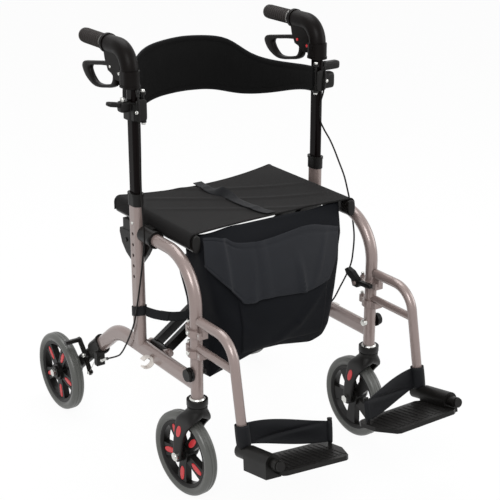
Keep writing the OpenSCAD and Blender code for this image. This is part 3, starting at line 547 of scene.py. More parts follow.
class CHAIR_OT_stage(bpy.types.Operator):
    """Sets the pale floor, the soft light and the camera of the photograph"""

    bl_idname = "chair.stage"
    bl_label = "Stage"

    FAR_CLIP = 50
    FLOOR_HALF = 9000
    FLOOR_Z = -0.5
    WHITE = (1, 1, 1, 1)
    # Strength of the light from all round, tone of the paper and how far the camera sees it as white
    SKY = 0.62
    PAPER = (0.86, 0.86, 0.86, 1)
    WHITE_SHARE = 0.94
    # Name, place, aim and width in metres and power in watts of each soft box
    LAMPS = (("key", (-1.7, -2.2, 2.6), (0, 0, 0.5), 1.6, 62),
             ("fill", (2.6, -1.4, 1.5), (0, 0, 0.5), 1.8, 30),
             ("top", (0.2, 0.9, 3.0), (0, 0, 0.4), 2.0, 44))

    def execute(self, context):
        scene = context.scene
        scene.view_settings.view_transform = "Standard"
        self.camera(scene)
        self.lamps(scene)
        self.world(scene)
        edge = np.linspace(-self.FLOOR_HALF, self.FLOOR_HALF, 9)
        x, y = np.meshgrid(edge, edge)
        floor = surface("floor", np.stack([x, y, np.full_like(x, self.FLOOR_Z)], axis=-1), self.pale(),
                        closed=False)
        return {"FINISHED"}

    def camera(self, scene):
        """The photograph's camera, level from side to side."""
        camera = bpy.data.cameras.new("camera")
        camera.lens = CAMERA_LENS
        camera.sensor_width = SENSOR
        camera.sensor_fit = "HORIZONTAL"
        camera.clip_end = self.FAR_CLIP
        eye = bpy.data.objects.new("camera", camera)
        eye.location = [c * MM for c in CAMERA_AT]
        eye.rotation_euler = (math.radians(90 - CAMERA_ELEVATION), 0, math.radians(CAMERA_AZIMUTH))
        scene.collection.objects.link(eye)
        scene.camera = eye

    def lamps(self, scene):
        """Three soft boxes: a key above the left front, a fill from the right, one overhead."""
        for name, place, aim, width, power in self.LAMPS:
            lamp = bpy.data.lights.new(name, "AREA")
            lamp.energy = power
            lamp.size = width
            light = bpy.data.objects.new(name, lamp)
            light.location = place
            light.rotation_euler = (Vector(aim) - Vector(place)).to_track_quat("-Z", "Y").to_euler()
            scene.collection.objects.link(light)

    def seen(self, tree):
        """1 for rays from the camera, off a mirror or through a clear piece, and 0 for the rest."""
        ray = add(tree, "LightPath").outputs
        direct = add(tree, "Math", {0: ray["Is Camera Ray"], 1: ray["Is Glossy Ray"]},
                     operation="MAXIMUM")
        either = add(tree, "Math", {0: direct.outputs[0], 1: ray["Is Transmission Ray"]},
                     operation="MAXIMUM")
        return either.outputs[0]

    def world(self, scene):
        """White where it is seen or mirrored, and a plain soft light elsewhere."""
        scene.world = bpy.data.worlds.new("studio")
        tree = emptied(scene.world)
        white = add(tree, "Background", {"Color": self.WHITE, "Strength": 1.0})
        soft = add(tree, "Background", {"Color": self.WHITE, "Strength": self.SKY})
        pick = add(tree, "MixShader", {"Fac": self.seen(tree), 1: soft.outputs[0], 2: white.outputs[0]})
        add(tree, "OutputWorld", {"Surface": pick.outputs[0]})

    def pale(self):
        """Matt white floor that shows white to the camera and keeps part of the shadow."""
        material = bpy.data.materials.new("white_paper_floor")
        tree = emptied(material)
        matt = add(tree, "BsdfDiffuse", {"Color": self.PAPER})
        white = add(tree, "Emission", {"Color": self.WHITE, "Strength": 1.0})
        share = add(tree, "Math", {0: self.seen(tree), 1: self.WHITE_SHARE}, operation="MULTIPLY")
        pick = add(tree, "MixShader", {"Fac": share.outputs[0], 1: matt.outputs[0],
                                       2: white.outputs[0]})
        add(tree, "OutputMaterial", {"Surface": pick.outputs[0]})
        return material


class CHAIR_OT_cables(bpy.types.Operator):
    """Lays the two brake cables along their routes, with their end ferrules"""

    bl_idname = "chair.cables"
    bl_label = "Brake cables"

    # Points of the path in a span of the route, and a point of the path counted from its end
    SPAN = 18
    FRAME_END = -40
    # Stretch of the path and radius of the ferrule under the housing and of the adjuster at the brake
    FERRULE = (slice(0, 9), 4.2)
    ADJUSTER = (slice(-4, -25, -1), 4.8)
    # Share of a sleeve's length where it steps in, and the share of its radius that is left
    STEP_AT = 0.55
    STEP_IN = 0.8

    def execute(self, context):
        look = finishes()
        diameter = context.scene.chair_sizes.cable
        for side, route in CABLE_ROUTES.items():
            path = through(route, self.SPAN * (len(route) - 1) + 1)
            name = f"brake_cable_{side}"
            cable = rod(f"{name}_jacket", path, diameter / MM / 2, (1, 0, 0), 14, look["jacket"])
            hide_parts(name)
            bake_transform(cable)
            ferrule = self.sleeve(f"{name}_top_ferrule", path, *self.FERRULE, look["nylon"])
            settle(ferrule, f"{side}_handle", "black_plastic")
            adjuster = self.sleeve(f"{name}_adjuster", path, *self.ADJUSTER, look["zinc"])
            settle(adjuster, f"{side}_frame", "zinc_steel")
        return {"FINISHED"}

    def sleeve(self, name, path, stretch, radius, material):
        """A stepped sleeve on a stretch of the cable: its radius steps in towards its far end."""
        line = path[stretch]
        share = np.linspace(0, 1, len(line))
        widths = np.where(share < self.STEP_AT, radius, radius * self.STEP_IN)
        return rod(name, line, widths, (1, 0, 0), 18, material)


class CHAIR_OT_rigid(bpy.types.Operator):
    """Gives the rigid CAD pieces the finish of their real material"""

    bl_idname = "chair.rigid"
    bl_label = "Rigid finishes"

    GROUPS = {
        "paint": ("lower_rail", "upright", "front_tube", "hanger"),
        "anodised": ("handle_tube",),
        "nylon": ("upright_collar", "arch_bracket", "wheel_socket", "rail_knob", "rear_rim",
                  "front_rim", "backrest_clamp", "hanger_latch", "foot_block",
                  "footplate"),
        "abs": ("handle_housing",),
        "rubber": ("grip",),
        "tyre": ("rear_tyre", "front_tyre"),
        "zinc": ("rear_axle", "caster_axle"),
        "enamel": ("brake_arm",),
    }

    def execute(self, context):
        look = finishes()
        for finish, names in self.GROUPS.items():
            for name in names:
                for node in both(name):
                    self.dress(node, look[finish])
        for node in ("brace_a", "brace_b"):
            self.dress(node, look["enamel"])
        return {"FINISHED"}

    def dress(self, node, material):
        """Puts the material into the node's own slots."""
        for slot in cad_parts[node].material_slots:
            slot.material = material


class CHAIR_OT_seat(bpy.types.Operator):
    """Makes the sling seat with its hems, the pull strap and the rail end caps"""

    bl_idname = "chair.seat"
    bl_label = "Seat"

    # Thickness of the cloth, its radius round a rail, and where it ends on the rail's outer side
    CLOTH = 2.4
    OUTER = RAIL_R + 3.2
    LIP = (-17, -8)
    WRAP = 84
    # How far the front edge curves in, the share of that at the rear, and the hems' drop and radius
    HOLLOW = 27
    REAR_SHARE = 0.9
    HEM_DROP = 1.2
    HEM_R = 2.1
    # Slanting folds: where each crosses the middle, their slant, waver, width and height
    FOLDS = (-48, 40, 129)
    FOLD_SLANT = 0.55
    FOLD_WAVER = 5
    FOLD_WIDTH = 8 / 0.876
    FOLD_HEIGHT = 1.7
    # Pull strap: its line from the rear, thickness, lift off the sling, and its slack half turn
    STRAP_LINE = ((-6, 178), (-12, 108), (-2, 66), (-2, -2), (3, -71), (12, -103))
    STRAP_CLOTH = 1.4
    STRAP_LIFT = 2.4
    SLACK_Y = 72
    SLACK_LONG = 26
    SLACK_HIGH = 6
    SLACK_TILT = 58
    # Length, width, dome height and squareness of a rail's end cap
    CAP = (37.4, 19.6, 4, 2.7)

    def execute(self, context):
        look = finishes()
        sizes = context.scene.chair_sizes
        self.sag = sizes.seat_sag / MM
        grid = self.sling()
        seat = fabric("seat_sling", grid, look["seat"], self.CLOTH)
        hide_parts("seat")
        self.span(seat, "seat_fabric")
        hems = [self.hem(row, name, look["seat"])
                for row, name in ((grid[0], "front"), (grid[-1], "rear"))]
        self.strap(sizes.strap / MM, look["webbing"])
        self.caps(look["nylon"])
        return {"FINISHED"}

    def span(self, piece, slot):
        """Fixes a soft piece in place between the two rails: its placing is baked into its mesh."""
        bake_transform(piece)

    def height(self, x, y):
        """Top of the sling: flat at the rails, a shallow trough between them, slanting soft folds."""
        u = np.clip(x / SEAT_X, -1, 1)
        v = (y - SEAT_FRONT) / (SEAT_REAR - SEAT_FRONT)
        trough = self.sag * (1 - u * u) * (0.75 + 0.25 * np.sin(np.pi * np.clip(v, 0, 1)))
        slant = y + self.FOLD_SLANT * x + self.FOLD_WAVER * np.sin(x / 60)
        folds = sum(ridge(slant - middle, self.FOLD_WIDTH) for middle in self.FOLDS)
        return RAIL_TOP + self.OUTER - trough + self.FOLD_HEIGHT * folds * (1 - u ** 4)

    def sling(self):
        """Rows front to rear: down the rail, round its top, over the trough and back down; the front
        and rear edges curve in towards the middle."""
        turn = np.radians(np.linspace(0, self.WRAP, 9))
        lip_x = np.concatenate([[self.OUTER] * len(self.LIP), self.OUTER * np.cos(turn)]) + SEAT_X
        lip_z = np.concatenate([self.LIP, self.OUTER * np.sin(turn)]) + RAIL_TOP
        flat = np.linspace(-SEAT_X, SEAT_X, 61)
        x = np.concatenate([-lip_x, flat, lip_x[::-1]])
        v = np.linspace(0, 1, 64)[:, None]
        hollow = self.HOLLOW * (1 - np.clip(x / SEAT_X, -1, 1) ** 2)
        y = (SEAT_FRONT + hollow) * (1 - v) + (SEAT_REAR - self.REAR_SHARE * hollow) * v
        lip = len(lip_z)
        lips = np.broadcast_to(lip_z, (len(v), lip))
        z = np.concatenate([lips, self.height(flat, y[:, lip:-lip]), lips[:, ::-1]], axis=1)
        return np.stack([np.broadcast_to(x, y.shape), y, z], axis=-1)

    def hem(self, edge, name, material):
        """A folded hem: a round roll carried along the sling's edge."""
        line = edge - np.array([0, 0, self.HEM_DROP])
        hem = rod(f"seat_{name}_hem", line, self.HEM_R, (0, 1, 0.02), 10, material)
        self.span(hem, "seat_fabric")
        return hem

    def strap(self, width, material):
        """A webbing strap on the sling's middle line, with one slack half turn."""
        line = through([(x, y, 0) for x, y in self.STRAP_LINE], 90)
        slack = ridge(line[:, 1] - self.SLACK_Y, self.SLACK_LONG)
        line[:, 2] = self.height(line[:, 0], line[:, 1]) + self.STRAP_LIFT + self.SLACK_HIGH * slack
        tilt = np.radians(self.SLACK_TILT) * slack
        side = np.stack([np.cos(tilt), 0.2 * slack, np.sin(tilt)], axis=-1)
        across = np.linspace(-width / 2, width / 2, 9)
        grid = line[:, None] + unit(side)[:, None] * across[None, :, None]
        strap = fabric("seat_pull_strap", grid, material, self.STRAP_CLOTH)
        self.span(strap, "webbing")

    def caps(self, material):
        """Oval plugs in the four ends of the two seat rails, each on its own brace."""
        for side, body in (("left", "brace_b"), ("right", "brace_a")):
            x = SIDES[side] * SEAT_X
            ends = [button((x, y, SEAT_Z), (0, way, 0), (0, 0, 1), *self.CAP)
                    for y, way in zip(RAIL_ENDS, (-1, 1))]
            plugs = surface(f"seat_rail_caps_{side}", ends, material, close_cols=True)
            settle(plugs, body, "black_plastic")


class CHAIR_OT_bag(bpy.types.Operator):
    """Hangs the bag under the seat: its shell, front pouch, flap and tie strap"""

    bl_idname = "chair.bag"
    bl_label = "Bag"

    # Levels from the hem down, and the half widths and the front face there
    LEVELS = (607, 572, 542, 484, 425, 390, 340, 304)
    HALF_LEFT = (197, 197, 195, 188, 178, 170, 158, 146)
    HALF_RIGHT = (197, 187, 179, 164, 148, 139, 128, 117)
    FRONT = (-121, -142, -158, -176, -184, -184, -180, -168)
    # Rear panel, and how far the side panels reach behind it at levels from the bottom up
    BACK = -58
    REAR_AT = (250, 300, 361, 423, 489, 515, 545)
    REAR_LEFT = (8, 17, 27, 39, 50, 54, 0)
    REAR_RIGHT = (0, 0, 14, 41, 57, 57, 0)
    # Rims of the rear and the front panel, the bottom, and the left panel's slump and half width there
    REAR_RIM = 560
    FRONT_RIM = 606
    BOTTOM = 309
    SLUMP = 39
    SLUMP_HALF = 178
    # Folds of the front: how proud, the ends in x and z of the line they run along, and their width
    FOLDS = ((5, (104, 450), (24, 376), 11), (3.5, (20, 372), (-40, 330), 13),
             (3, (-150, 420), (-60, 340), 12))
    # Pouch: heights of its top and bottom, its middle, half width, taper and fullness
    POUCH_TOP = 492
    POUCH_LOW = 330
    POUCH_X = -12
    POUCH_HALF = 122
    POUCH_TAPER = 12
    POUCH_FULL = 8
    # Flap: its top and bottom edge, and the middle points of its left and right edge
    FLAP_TOP = ((-197, -142, 606), (-150, -151, 599), (-118, -158, 583), (-46, -162, 577),
                (66, -160, 586), (120, -156, 575), (166, -150, 561))
    FLAP_LOW = ((-203, -158, 548), (-193, -167, 535), (-163, -180, 501), (-133, -190, 467),
                (-117, -194, 453), (-62, -197, 455), (32, -197, 446), (78, -193, 449), (118, -185, 456))
    FLAP_LEFT = (-200, -152, 575)
    FLAP_RIGHT = (150, -168, 505)
    FLAP_HEM_R = 1.9
    # Standing folds of the flap: how proud, their x at a height, lean and width
    PLEATS = ((5, -90, 520, 0.15, 8), (8, -158, 0, 0, 8), (6.5, 33, 480, -0.1, 6), (3.5, 92, 500, 0.5, 9))
    # Tie strap: width and thickness of the webbing, middle, half axes and dip of the loop
    TIE_WIDTH = 23
    TIE_CLOTH = 1.4
    TIE_LOOP = (-250, 48, 384)
    TIE_HALF = (14.4, 22.3)
    TIE_DIP = 0.3
    # Its line from the loop to the bag, its twist, and where on the line the tab starts and the tail ends
    TIE_LINE = ((-246, 25.5, 388), (-232, 4, 384), (-208, -28, 384), (-170, -62, 391))
    TIE_TWIST = 0.35
    TAB_START = 17
    TAIL_END = 25
    TAB_LIFT = (1.1, 1.1, 0)

    def execute(self, context):
        look = finishes()
        cloth = context.scene.chair_sizes.cloth / MM
        grid, uv = self.shell()
        # The shell and the pouch take the darkened cloth, whose colour carries painted shade
        shell = surface("bag_shell", grid, look["bag_body"], closed=False, close_cols=True, uv=uv)
        thicken(shell, cloth)
        self.hang(shell, "bag")
        self.pouch(cloth, look["bag_body"])
        self.flap(cloth, look["bag"])
        self.tie(look["webbing"])
        return {"FINISHED"}

    def hang(self, piece, *nodes, slot="bag_fabric"):
        """Rides on the bag and gets a mesh of its own."""
        settle(piece, "bag", slot, *nodes)
        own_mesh(piece)

    def tie(self, material):
        """A tie strap from the bag's rear corner to the left upright: an oval loop of webbing that
        dips to the rear, its tail, and the bag's own tab, which overlap where they fasten."""
        a = np.linspace(0, 2 * np.pi, 49)[:, None]
        half = np.linspace(-1, 1, 7)[None, :] * self.TIE_WIDTH / 2
        x, y, z = self.TIE_LOOP
        rear = self.TIE_HALF[1] * np.sin(a)
        loop = point_grid(x + self.TIE_HALF[0] * np.cos(a), y + rear, z - self.TIE_DIP * rear + half)
        line = through(self.TIE_LINE, 41)
        twist = self.TIE_TWIST * np.sin(np.pi * np.linspace(0, 1, len(line)))
        across = unit(point_grid(0.5 * twist, -0.4 * twist, 1))
        lead = line[:, None] + across[:, None] * half[..., None]
        grids = {"loop": loop, "tail": lead[:self.TAIL_END], "tab": lead[self.TAB_START:] + self.TAB_LIFT}
        ring, tail, tab = [fabric(f"bag_tie_{name}", grid, material, self.TIE_CLOTH, 0.0)
                           for name, grid in grids.items()]
        settle(ring, "left_frame", "webbing")
        settle(tail, "left_frame", "webbing")
        self.hang(tab, slot="webbing")

    def level(self, z, values):
        """A measure of the bag at a height, read between its levels."""
        return np.interp(z, self.LEVELS[::-1], values[::-1])

    def front(self, x, z):
        """Front face of the bag: fullest near the floor of the pouch, drawn back to the hem at the
        top and hollow there between the rails, with folds across the cloth and ripples below."""
        hollow = 12 * (1 - np.clip(x / 200, -1, 1) ** 2) * smooth((z - self.REAR_RIM) / 44)
        belly = 7 * np.cos(np.clip(x / 160, -1, 1) * np.pi / 2) * ridge(z - 390, 70)
        folds = sum(high * ridge(line_distance(x, z, a, b), wide) for high, a, b, wide in self.FOLDS)
        ripples = 2.4 * np.sin(x / 21 + z / 55) * smooth((330 - z) / 30)
        return self.level(z, self.FRONT) + hollow - belly - folds - ripples

    def shell(self):
        """Rounded rings from the hem down to the bottom, then inwards to close it. The side panels
        reach further back than the rear panel, clear of the braces, and the left one slumps."""
        a = around(160)
        cx = squared(np.cos(a), 2 / 7)
        cy = squared(np.sin(a), 2 / 7)
        ahead = smooth((-cy + 0.2) / 0.9)
        hem = (self.REAR_RIM + (self.FRONT_RIM - self.REAR_RIM) * ahead
               - 3 * ahead * (1 - cx ** 2) + 2 * ahead * np.sin(cx * 9))
        xb = cx * 130
        slump = smooth((-cx - 0.5) / 0.5) * smooth((cy + 0.85) / 0.5)
        floor = (self.BOTTOM + 22 * ridge(xb + 34, 46) + 4 * np.sin(xb / 18) * ahead
                 - self.SLUMP * slump)
        v = np.linspace(0, 1, 56)[:, None]
        z = hem * (1 - v) + floor * v
        half = np.where(cx < 0, self.level(z, self.HALF_LEFT), self.level(z, self.HALF_RIGHT))
        half = half + slump * np.clip(self.SLUMP_HALF - half, 0, None)
        x = cx * half + 2.5 * np.sin(z / 27 + 5 * cy) * (1 - np.abs(cy))
        face = self.front(x, z)
        reach = np.where(cx < 0, np.interp(z, self.REAR_AT, self.REAR_LEFT),
                         np.interp(z, self.REAR_AT, self.REAR_RIGHT))
        gusset = reach * smooth((np.abs(cx) - 0.7) / 0.25)
        back = self.BACK + gusset - 45 * smooth((410 - z) / 100) * smooth((cx + 0.2) / 0.6)
        middle = (face + back) / 2
        y = middle + np.where(cy < 0, middle - face, back - middle) * cy
        rows = np.stack([x, y, z], axis=-1)
        core = rows[-1].mean(axis=0)
        shrink = np.array([0.97, 0.9, 0.75, 0.5, 0.25, 0.0])[:, None, None]
        under = core + (rows[-1] - core) * shrink
        under[..., 2] -= 3.0 * (1 - shrink[..., 0])
        grid = np.concatenate([rows, under])
        down = flat_map(grid)[:, 0, 1]
        return grid, np.stack(np.meshgrid(lengths(rows[10]), down), axis=-1)

    def pouch(self, cloth, material):
        """A patch pocket on the front face, sewn along its sides and bottom and full in the middle."""
        u = np.linspace(-1, 1, 49)[None, :]
        v = np.linspace(0, 1, 31)[:, None]
        z = (self.POUCH_TOP - 8 * u * u) * (1 - v) + (self.POUCH_LOW + 3 * np.cos(4 * u)) * v
        x = self.POUCH_X + u * (self.POUCH_HALF - self.POUCH_TAPER * v)
        full = np.cos(u * np.pi / 2) ** 1.4 * np.sin(np.pi * v).clip(0) ** 1.2
        y = self.front(x, z) - 0.5 - self.POUCH_FULL * full - cloth
        grid = point_grid(x, y, z)
        pouch = fabric("bag_pouch", grid, material, cloth, 0.0)
        self.hang(pouch)

    def flap(self, cloth, material):
        """A loose flap over the pouch: a patch between four drawn edges, with standing folds, a full
        middle, a strip sewn down it and a seam near its top and bottom."""
        top = through(self.FLAP_TOP, 81)
        low = through(self.FLAP_LOW, 81)
        left = through((top[0], self.FLAP_LEFT, low[0]), 33)
        right = through((top[-1], self.FLAP_RIGHT, low[-1]), 33)
        grid = coons(top, low, left, right)
        x, z = grid[..., 0], grid[..., 2]
        v = np.linspace(0, 1, 33)[:, None]
        bow = np.sin(np.pi * v)
        growth = (v, 1, smooth((v - 0.3) / 0.4), bow)
        pleats = sum(high * ridge(x - at - (z - level) * lean, wide) * grown
                     for (high, at, level, lean, wide), grown in zip(self.PLEATS, growth))
        strip = 1.1 * (np.tanh((x + 73) / 1.3) - np.tanh((x + 52) / 1.3))
        belly = 7 * bow * ridge(x + 10, 110)
        seams = 1.6 * ridge(v - 0.13, 0.018) + 1.2 * ridge(v - 0.93, 0.015)
        grid[..., 1] -= pleats + strip + belly - seams
        flap = fabric("bag_flap", grid, material, cloth, 0.0)
        self.hang(flap)
        hem = rod("bag_flap_hem", grid[-1], self.FLAP_HEM_R, (0, 1, 0.1), 10, material)
        self.hang(hem)


class CHAIR_OT_backrest(bpy.types.Operator):
    """Makes the bowed backrest band with its bound edges"""

    bl_idname = "chair.backrest"
    bl_label = "Backrest"

    # Depth of the bow in plan, radius of the bound edge, and the sewn groove's distance from the edge
    BOW = 214
    BEAD_R = 2.6
    GROOVE = 11
    # Half thickness of the padding at the hinges, and what it gains over the first part of the band
    THIN = 3
    PADDING = 4
    RISE = 0.2
    FILL = 0.45
    # Cloth simulation: inner pressure, steps, and the furthest that a point moves
    PRESSURE = 4.0
    STEPS = 20
    CAP = 4.0
    # Edges: share of the way along the band from its nearer end, and the height over the hinge's foot
    TOP = ((0, 52), (0.05, 48), (0.1, 46), (0.15, 46), (0.2, 49), (0.25, 57), (0.29, 70), (0.32, 84),
           (0.35, 96), (0.38, 103), (0.42, 108), (0.5, 114))
    LOW = ((0, -2), (0.05, -9), (0.1, -18), (0.16, -28), (0.22, -34), (0.27, -36), (0.32, -34),
           (0.37, -26), (0.42, -18), (0.5, -14))

    def execute(self, context):
        look = finishes()
        grid, sewn = self.band()
        band = surface("backrest_band", grid, look["back"], close_cols=True, caps=True)
        self.swell(context, band, sewn)
        self.hold(band, "backrest")
        s = np.linspace(0.004, 0.996, 150)
        for name, heights in (("upper", self.TOP), ("lower", self.LOW)):
            path = np.column_stack([self.line(s), self.edge(s, heights)])
            bead = rod(f"backrest_{name}_binding", path, self.BEAD_R, (0, 0, 1), 12, look["webbing"])
            self.hold(bead)
        return {"FINISHED"}

    def hold(self, piece, *nodes):
        """Rides on the left handle and gets a mesh of its own."""
        settle(piece, "left_handle", "back_fabric", *nodes)
        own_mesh(piece)

    def line(self, s):
        """Middle line of the band in plan: a squarish bow between the two hinges."""
        x = -BACK_HALF * squared(np.cos(np.pi * s), 0.8)
        y = HINGE[1] + 3 + self.BOW * np.sin(np.pi * s).clip(0) ** 0.75
        return np.column_stack([x, y])

    def edge(self, s, heights):
        """An edge of the band, read from a table by the distance to the nearer end and averaged over
        a short stretch so that it runs smoothly: the top is low near the hinges and climbs in an
        S-curve to the middle, and the bottom is lowest under the S-curves."""
        near = np.minimum(s, 1 - s)
        spread = np.linspace(-0.03, 0.03, 9)[:, None]
        table = np.array(heights, float)
        return CLAMP_Z + np.interp(np.clip(near + spread, 0, 0.5), *table.T).mean(axis=0)

    def band(self):
        """Padded section carried along the bow: a flat super-ellipse with a sewn groove inside
        each edge. Also gives the numbers of the points that are sewn."""
        s = np.linspace(0, 1, 181)
        line = self.line(s)
        along = unit(np.gradient(line, axis=0))
        out = np.column_stack([along[:, 1], -along[:, 0]])
        top = self.edge(s, self.TOP)[:, None]
        low = self.edge(s, self.LOW)[:, None]
        half = self.THIN + self.PADDING * smooth(np.minimum(s, 1 - s) / self.RISE)
        a = around(64) + 0.05
        z = (top + low) / 2 + (top - low) / 2 * squared(np.sin(a), 0.6)
        inset = np.minimum(top - z, z - low)
        groove = np.abs(inset - self.GROOVE)
        depth = half[:, None] * squared(np.cos(a), 0.5) * (1 - 0.35 * ridge(groove, 2.6))
        plan = line[:, None] + out[:, None] * depth[..., None]
        ends = (s < 0.02) | (s > 0.98)
        sewn = (inset < 2.5) | (groove < 1.6) | ends[:, None]
        return np.concatenate([plan, z[..., None]], axis=-1), np.flatnonzero(sewn)

    def swell(self, context, piece, sewn):
        """Cloth under a light inner pressure: the sewn points stay, the panels between them fill out,
        and no point moves further than the cap."""
        rest = np.empty(len(piece.data.vertices) * 3)
        piece.data.vertices.foreach_get("co", rest)
        rest = rest.reshape(-1, 3)
        piece.vertex_groups.new(name="sewn").add(sewn.tolist(), 1.0, "REPLACE")
        cloth = piece.modifiers.new("swell", "CLOTH")
        cloth.settings.vertex_group_mass = "sewn"
        cloth.settings.use_pressure = True
        cloth.settings.uniform_pressure_force = self.PRESSURE
        cloth.settings.effector_weights.gravity = 0
        cloth.point_cache.frame_end = self.STEPS
        for step in range(1, self.STEPS + 1):
            context.scene.frame_set(step)
        filled = piece.evaluated_get(context.evaluated_depsgraph_get()).data
        moved = np.empty(len(filled.vertices) * 3)
        filled.vertices.foreach_get("co", moved)
        shift = moved.reshape(-1, 3) - rest
        far = np.linalg.norm(shift, axis=1, keepdims=True)
        cap = self.CAP * MM
        shift *= cap * np.tanh(far / cap) / np.maximum(far, 1e-9)
        piece.modifiers.remove(cloth)
        piece.vertex_groups.clear()
        piece.data.vertices.foreach_set("co", (rest + shift).ravel())
        piece.data.update()
        context.scene.frame_set(1)


class CHAIR_OT_footrests(bpy.types.Operator):
    """Makes the heel straps: the sleeve on the hanger, the band and the loop on the post"""

    bl_idname = "chair.footrests"
    bl_label = "Heel straps"

    # Place in the footrest's frame, radius and lower and upper end of the sleeve and of the loop
    RINGS = {"sleeve": ((0, 0), 15.4, 12, 60.5), "loop": (POST, 5.6, -6, 41)}
    RING_CLOTH = 1.2
    BAND_CLOTH = 1.6
    # Start of the band at the leg, its run from there to the post, and its half width at the start
    BAND_START = (-14.6, 1.7, 36)
    BAND_RUN = (-170, -46.9, -18)
    BAND_HALF = 23.8
    # Two points along the band, one near the leg and one near the post
    HANDOVER = ((-20, 0, 40), (-180, -40, 20))

    def execute(self, context):
        webbing = finishes()["webbing"]
        for side in SIDES:
            band, flat = self.band(side, webbing)
            sleeve = self.ring(side, "sleeve", webbing)
            settle(sleeve, f"{side}_hanger", "webbing")
            loop = self.ring(side, "loop", webbing)
            settle(loop, f"{side}_footplate", "webbing")
        return {"FINISHED"}

    def place(self, points, side, share=0.0):
        """Points of the footrest's own frame, drooped about the hinge by a share of the plate's
        droop, tilted with the hanger leg and set on their side."""
        droop = np.radians(DROOP[side]) * share
        tilt = math.radians(FOOT_TILT)
        along, across, up = np.moveaxis(np.asarray(points, float), -1, 0)
        x = along * np.cos(droop) - up * np.sin(droop)
        h = along * np.sin(droop) + up * np.cos(droop)
        y = across * math.cos(tilt) + h * math.sin(tilt)
        z = h * math.cos(tilt) - across * math.sin(tilt)
        return mirrored(np.stack([x, y, z], axis=-1) + np.array(FOOT_ORIGIN), SIDES[side])

    def band(self, side, material):
        """Webbing from the leg to the post, hung in a shallow bow to the rear, with one slack fold
        that climbs across it."""
        t = np.linspace(0, 1, 61)[:, None]
        q = np.linspace(-1, 1, 21)[None, :]
        slack = np.sin(np.pi * t)
        fold = ridge(q - 1.9 * (t - 0.5), 0.16) * slack
        x, y, z = self.BAND_START
        dx, dy, dz = self.BAND_RUN
        x = x + dx * t
        y = y + dy * t + 8 * slack + 5 * fold - 2.5 * np.sin(np.pi * q) * slack
        z = z + dz * smooth(t) - 4 * slack + (self.BAND_HALF - 0.8 * t + 4.5 * slack) * q
        grid = self.place(point_grid(x, y, z), side, t)
        band = fabric(f"heel_strap_band_{side}", grid, material, self.BAND_CLOTH, 0.0)
        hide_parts(f"heel_strap_{side}")
        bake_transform(band)
        wide, long = flat_map(grid)[-1, -1] * MM
        return band, (float(wide), float(long))

    def ring(self, side, kind, material):
        """A sleeve of webbing: a short cylinder with a slight swell, sewn shut."""
        at, radius, low, high = self.RINGS[kind]
        a = np.linspace(0, 2 * np.pi, 41)[:, None]
        h = np.linspace(0, 1, 9)[None, :]
        r = radius + 0.5 * np.sin(np.pi * h)
        grid = point_grid(at[0] + r * np.cos(a), at[1] + r * np.sin(a), low + (high - low) * h)
        grid = self.place(grid, side, 1.0 if kind == "loop" else 0.0)
        return fabric(f"heel_strap_{kind}_{side}", grid, material, self.RING_CLOTH, float(SIDES[side]))


class CHAIR_OT_wheels(bpy.types.Operator):
    """Sets the red inserts in the spokes"""

    bl_idname = "chair.wheels"
    bl_label = "Wheel inserts"

    SPOKES = 5
    # Turn of the first spoke in degrees, and width of an insert
    PHASES = {"rear": 64, "front": 5}
    WIDTHS = {"rear": 11.4, "front": 14.2}
    # Distance of an insert from the axle and of the rim's face from its middle
    RADIUS = 52
    FACE = 6.6
    # Length, dome height and squareness of an insert
    LENGTH = 36.2
    HEIGHT = 2.2
    SQUARE = 2.2

    def execute(self, context):
        look = finishes()
        for side, sign in SIDES.items():
            for end, phase in self.PHASES.items():
                hub = np.mean(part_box(f"{end}_tyre_{side}"), axis=0) / MM
                turn = TURN[side] if end == "front" else 0.0
                angles = np.radians(np.arange(self.SPOKES) * 360 / self.SPOKES + phase)
                spokes = turned(point_grid(0, np.sin(angles), -np.cos(angles)), turn)
                out = turned(np.array([sign, 0.0, 0.0]), turn)
                plates = [button(hub + out * self.FACE + spoke * self.RADIUS, out, spoke, self.LENGTH,
                                 self.WIDTHS[end], self.HEIGHT, self.SQUARE) for spoke in spokes]
                inserts = surface(f"{end}_spoke_inserts_{side}", plates, look["accent"],
                                  close_cols=True)
                settle(inserts, f"{side}_{end}_wheel", None)
        return {"FINISHED"}


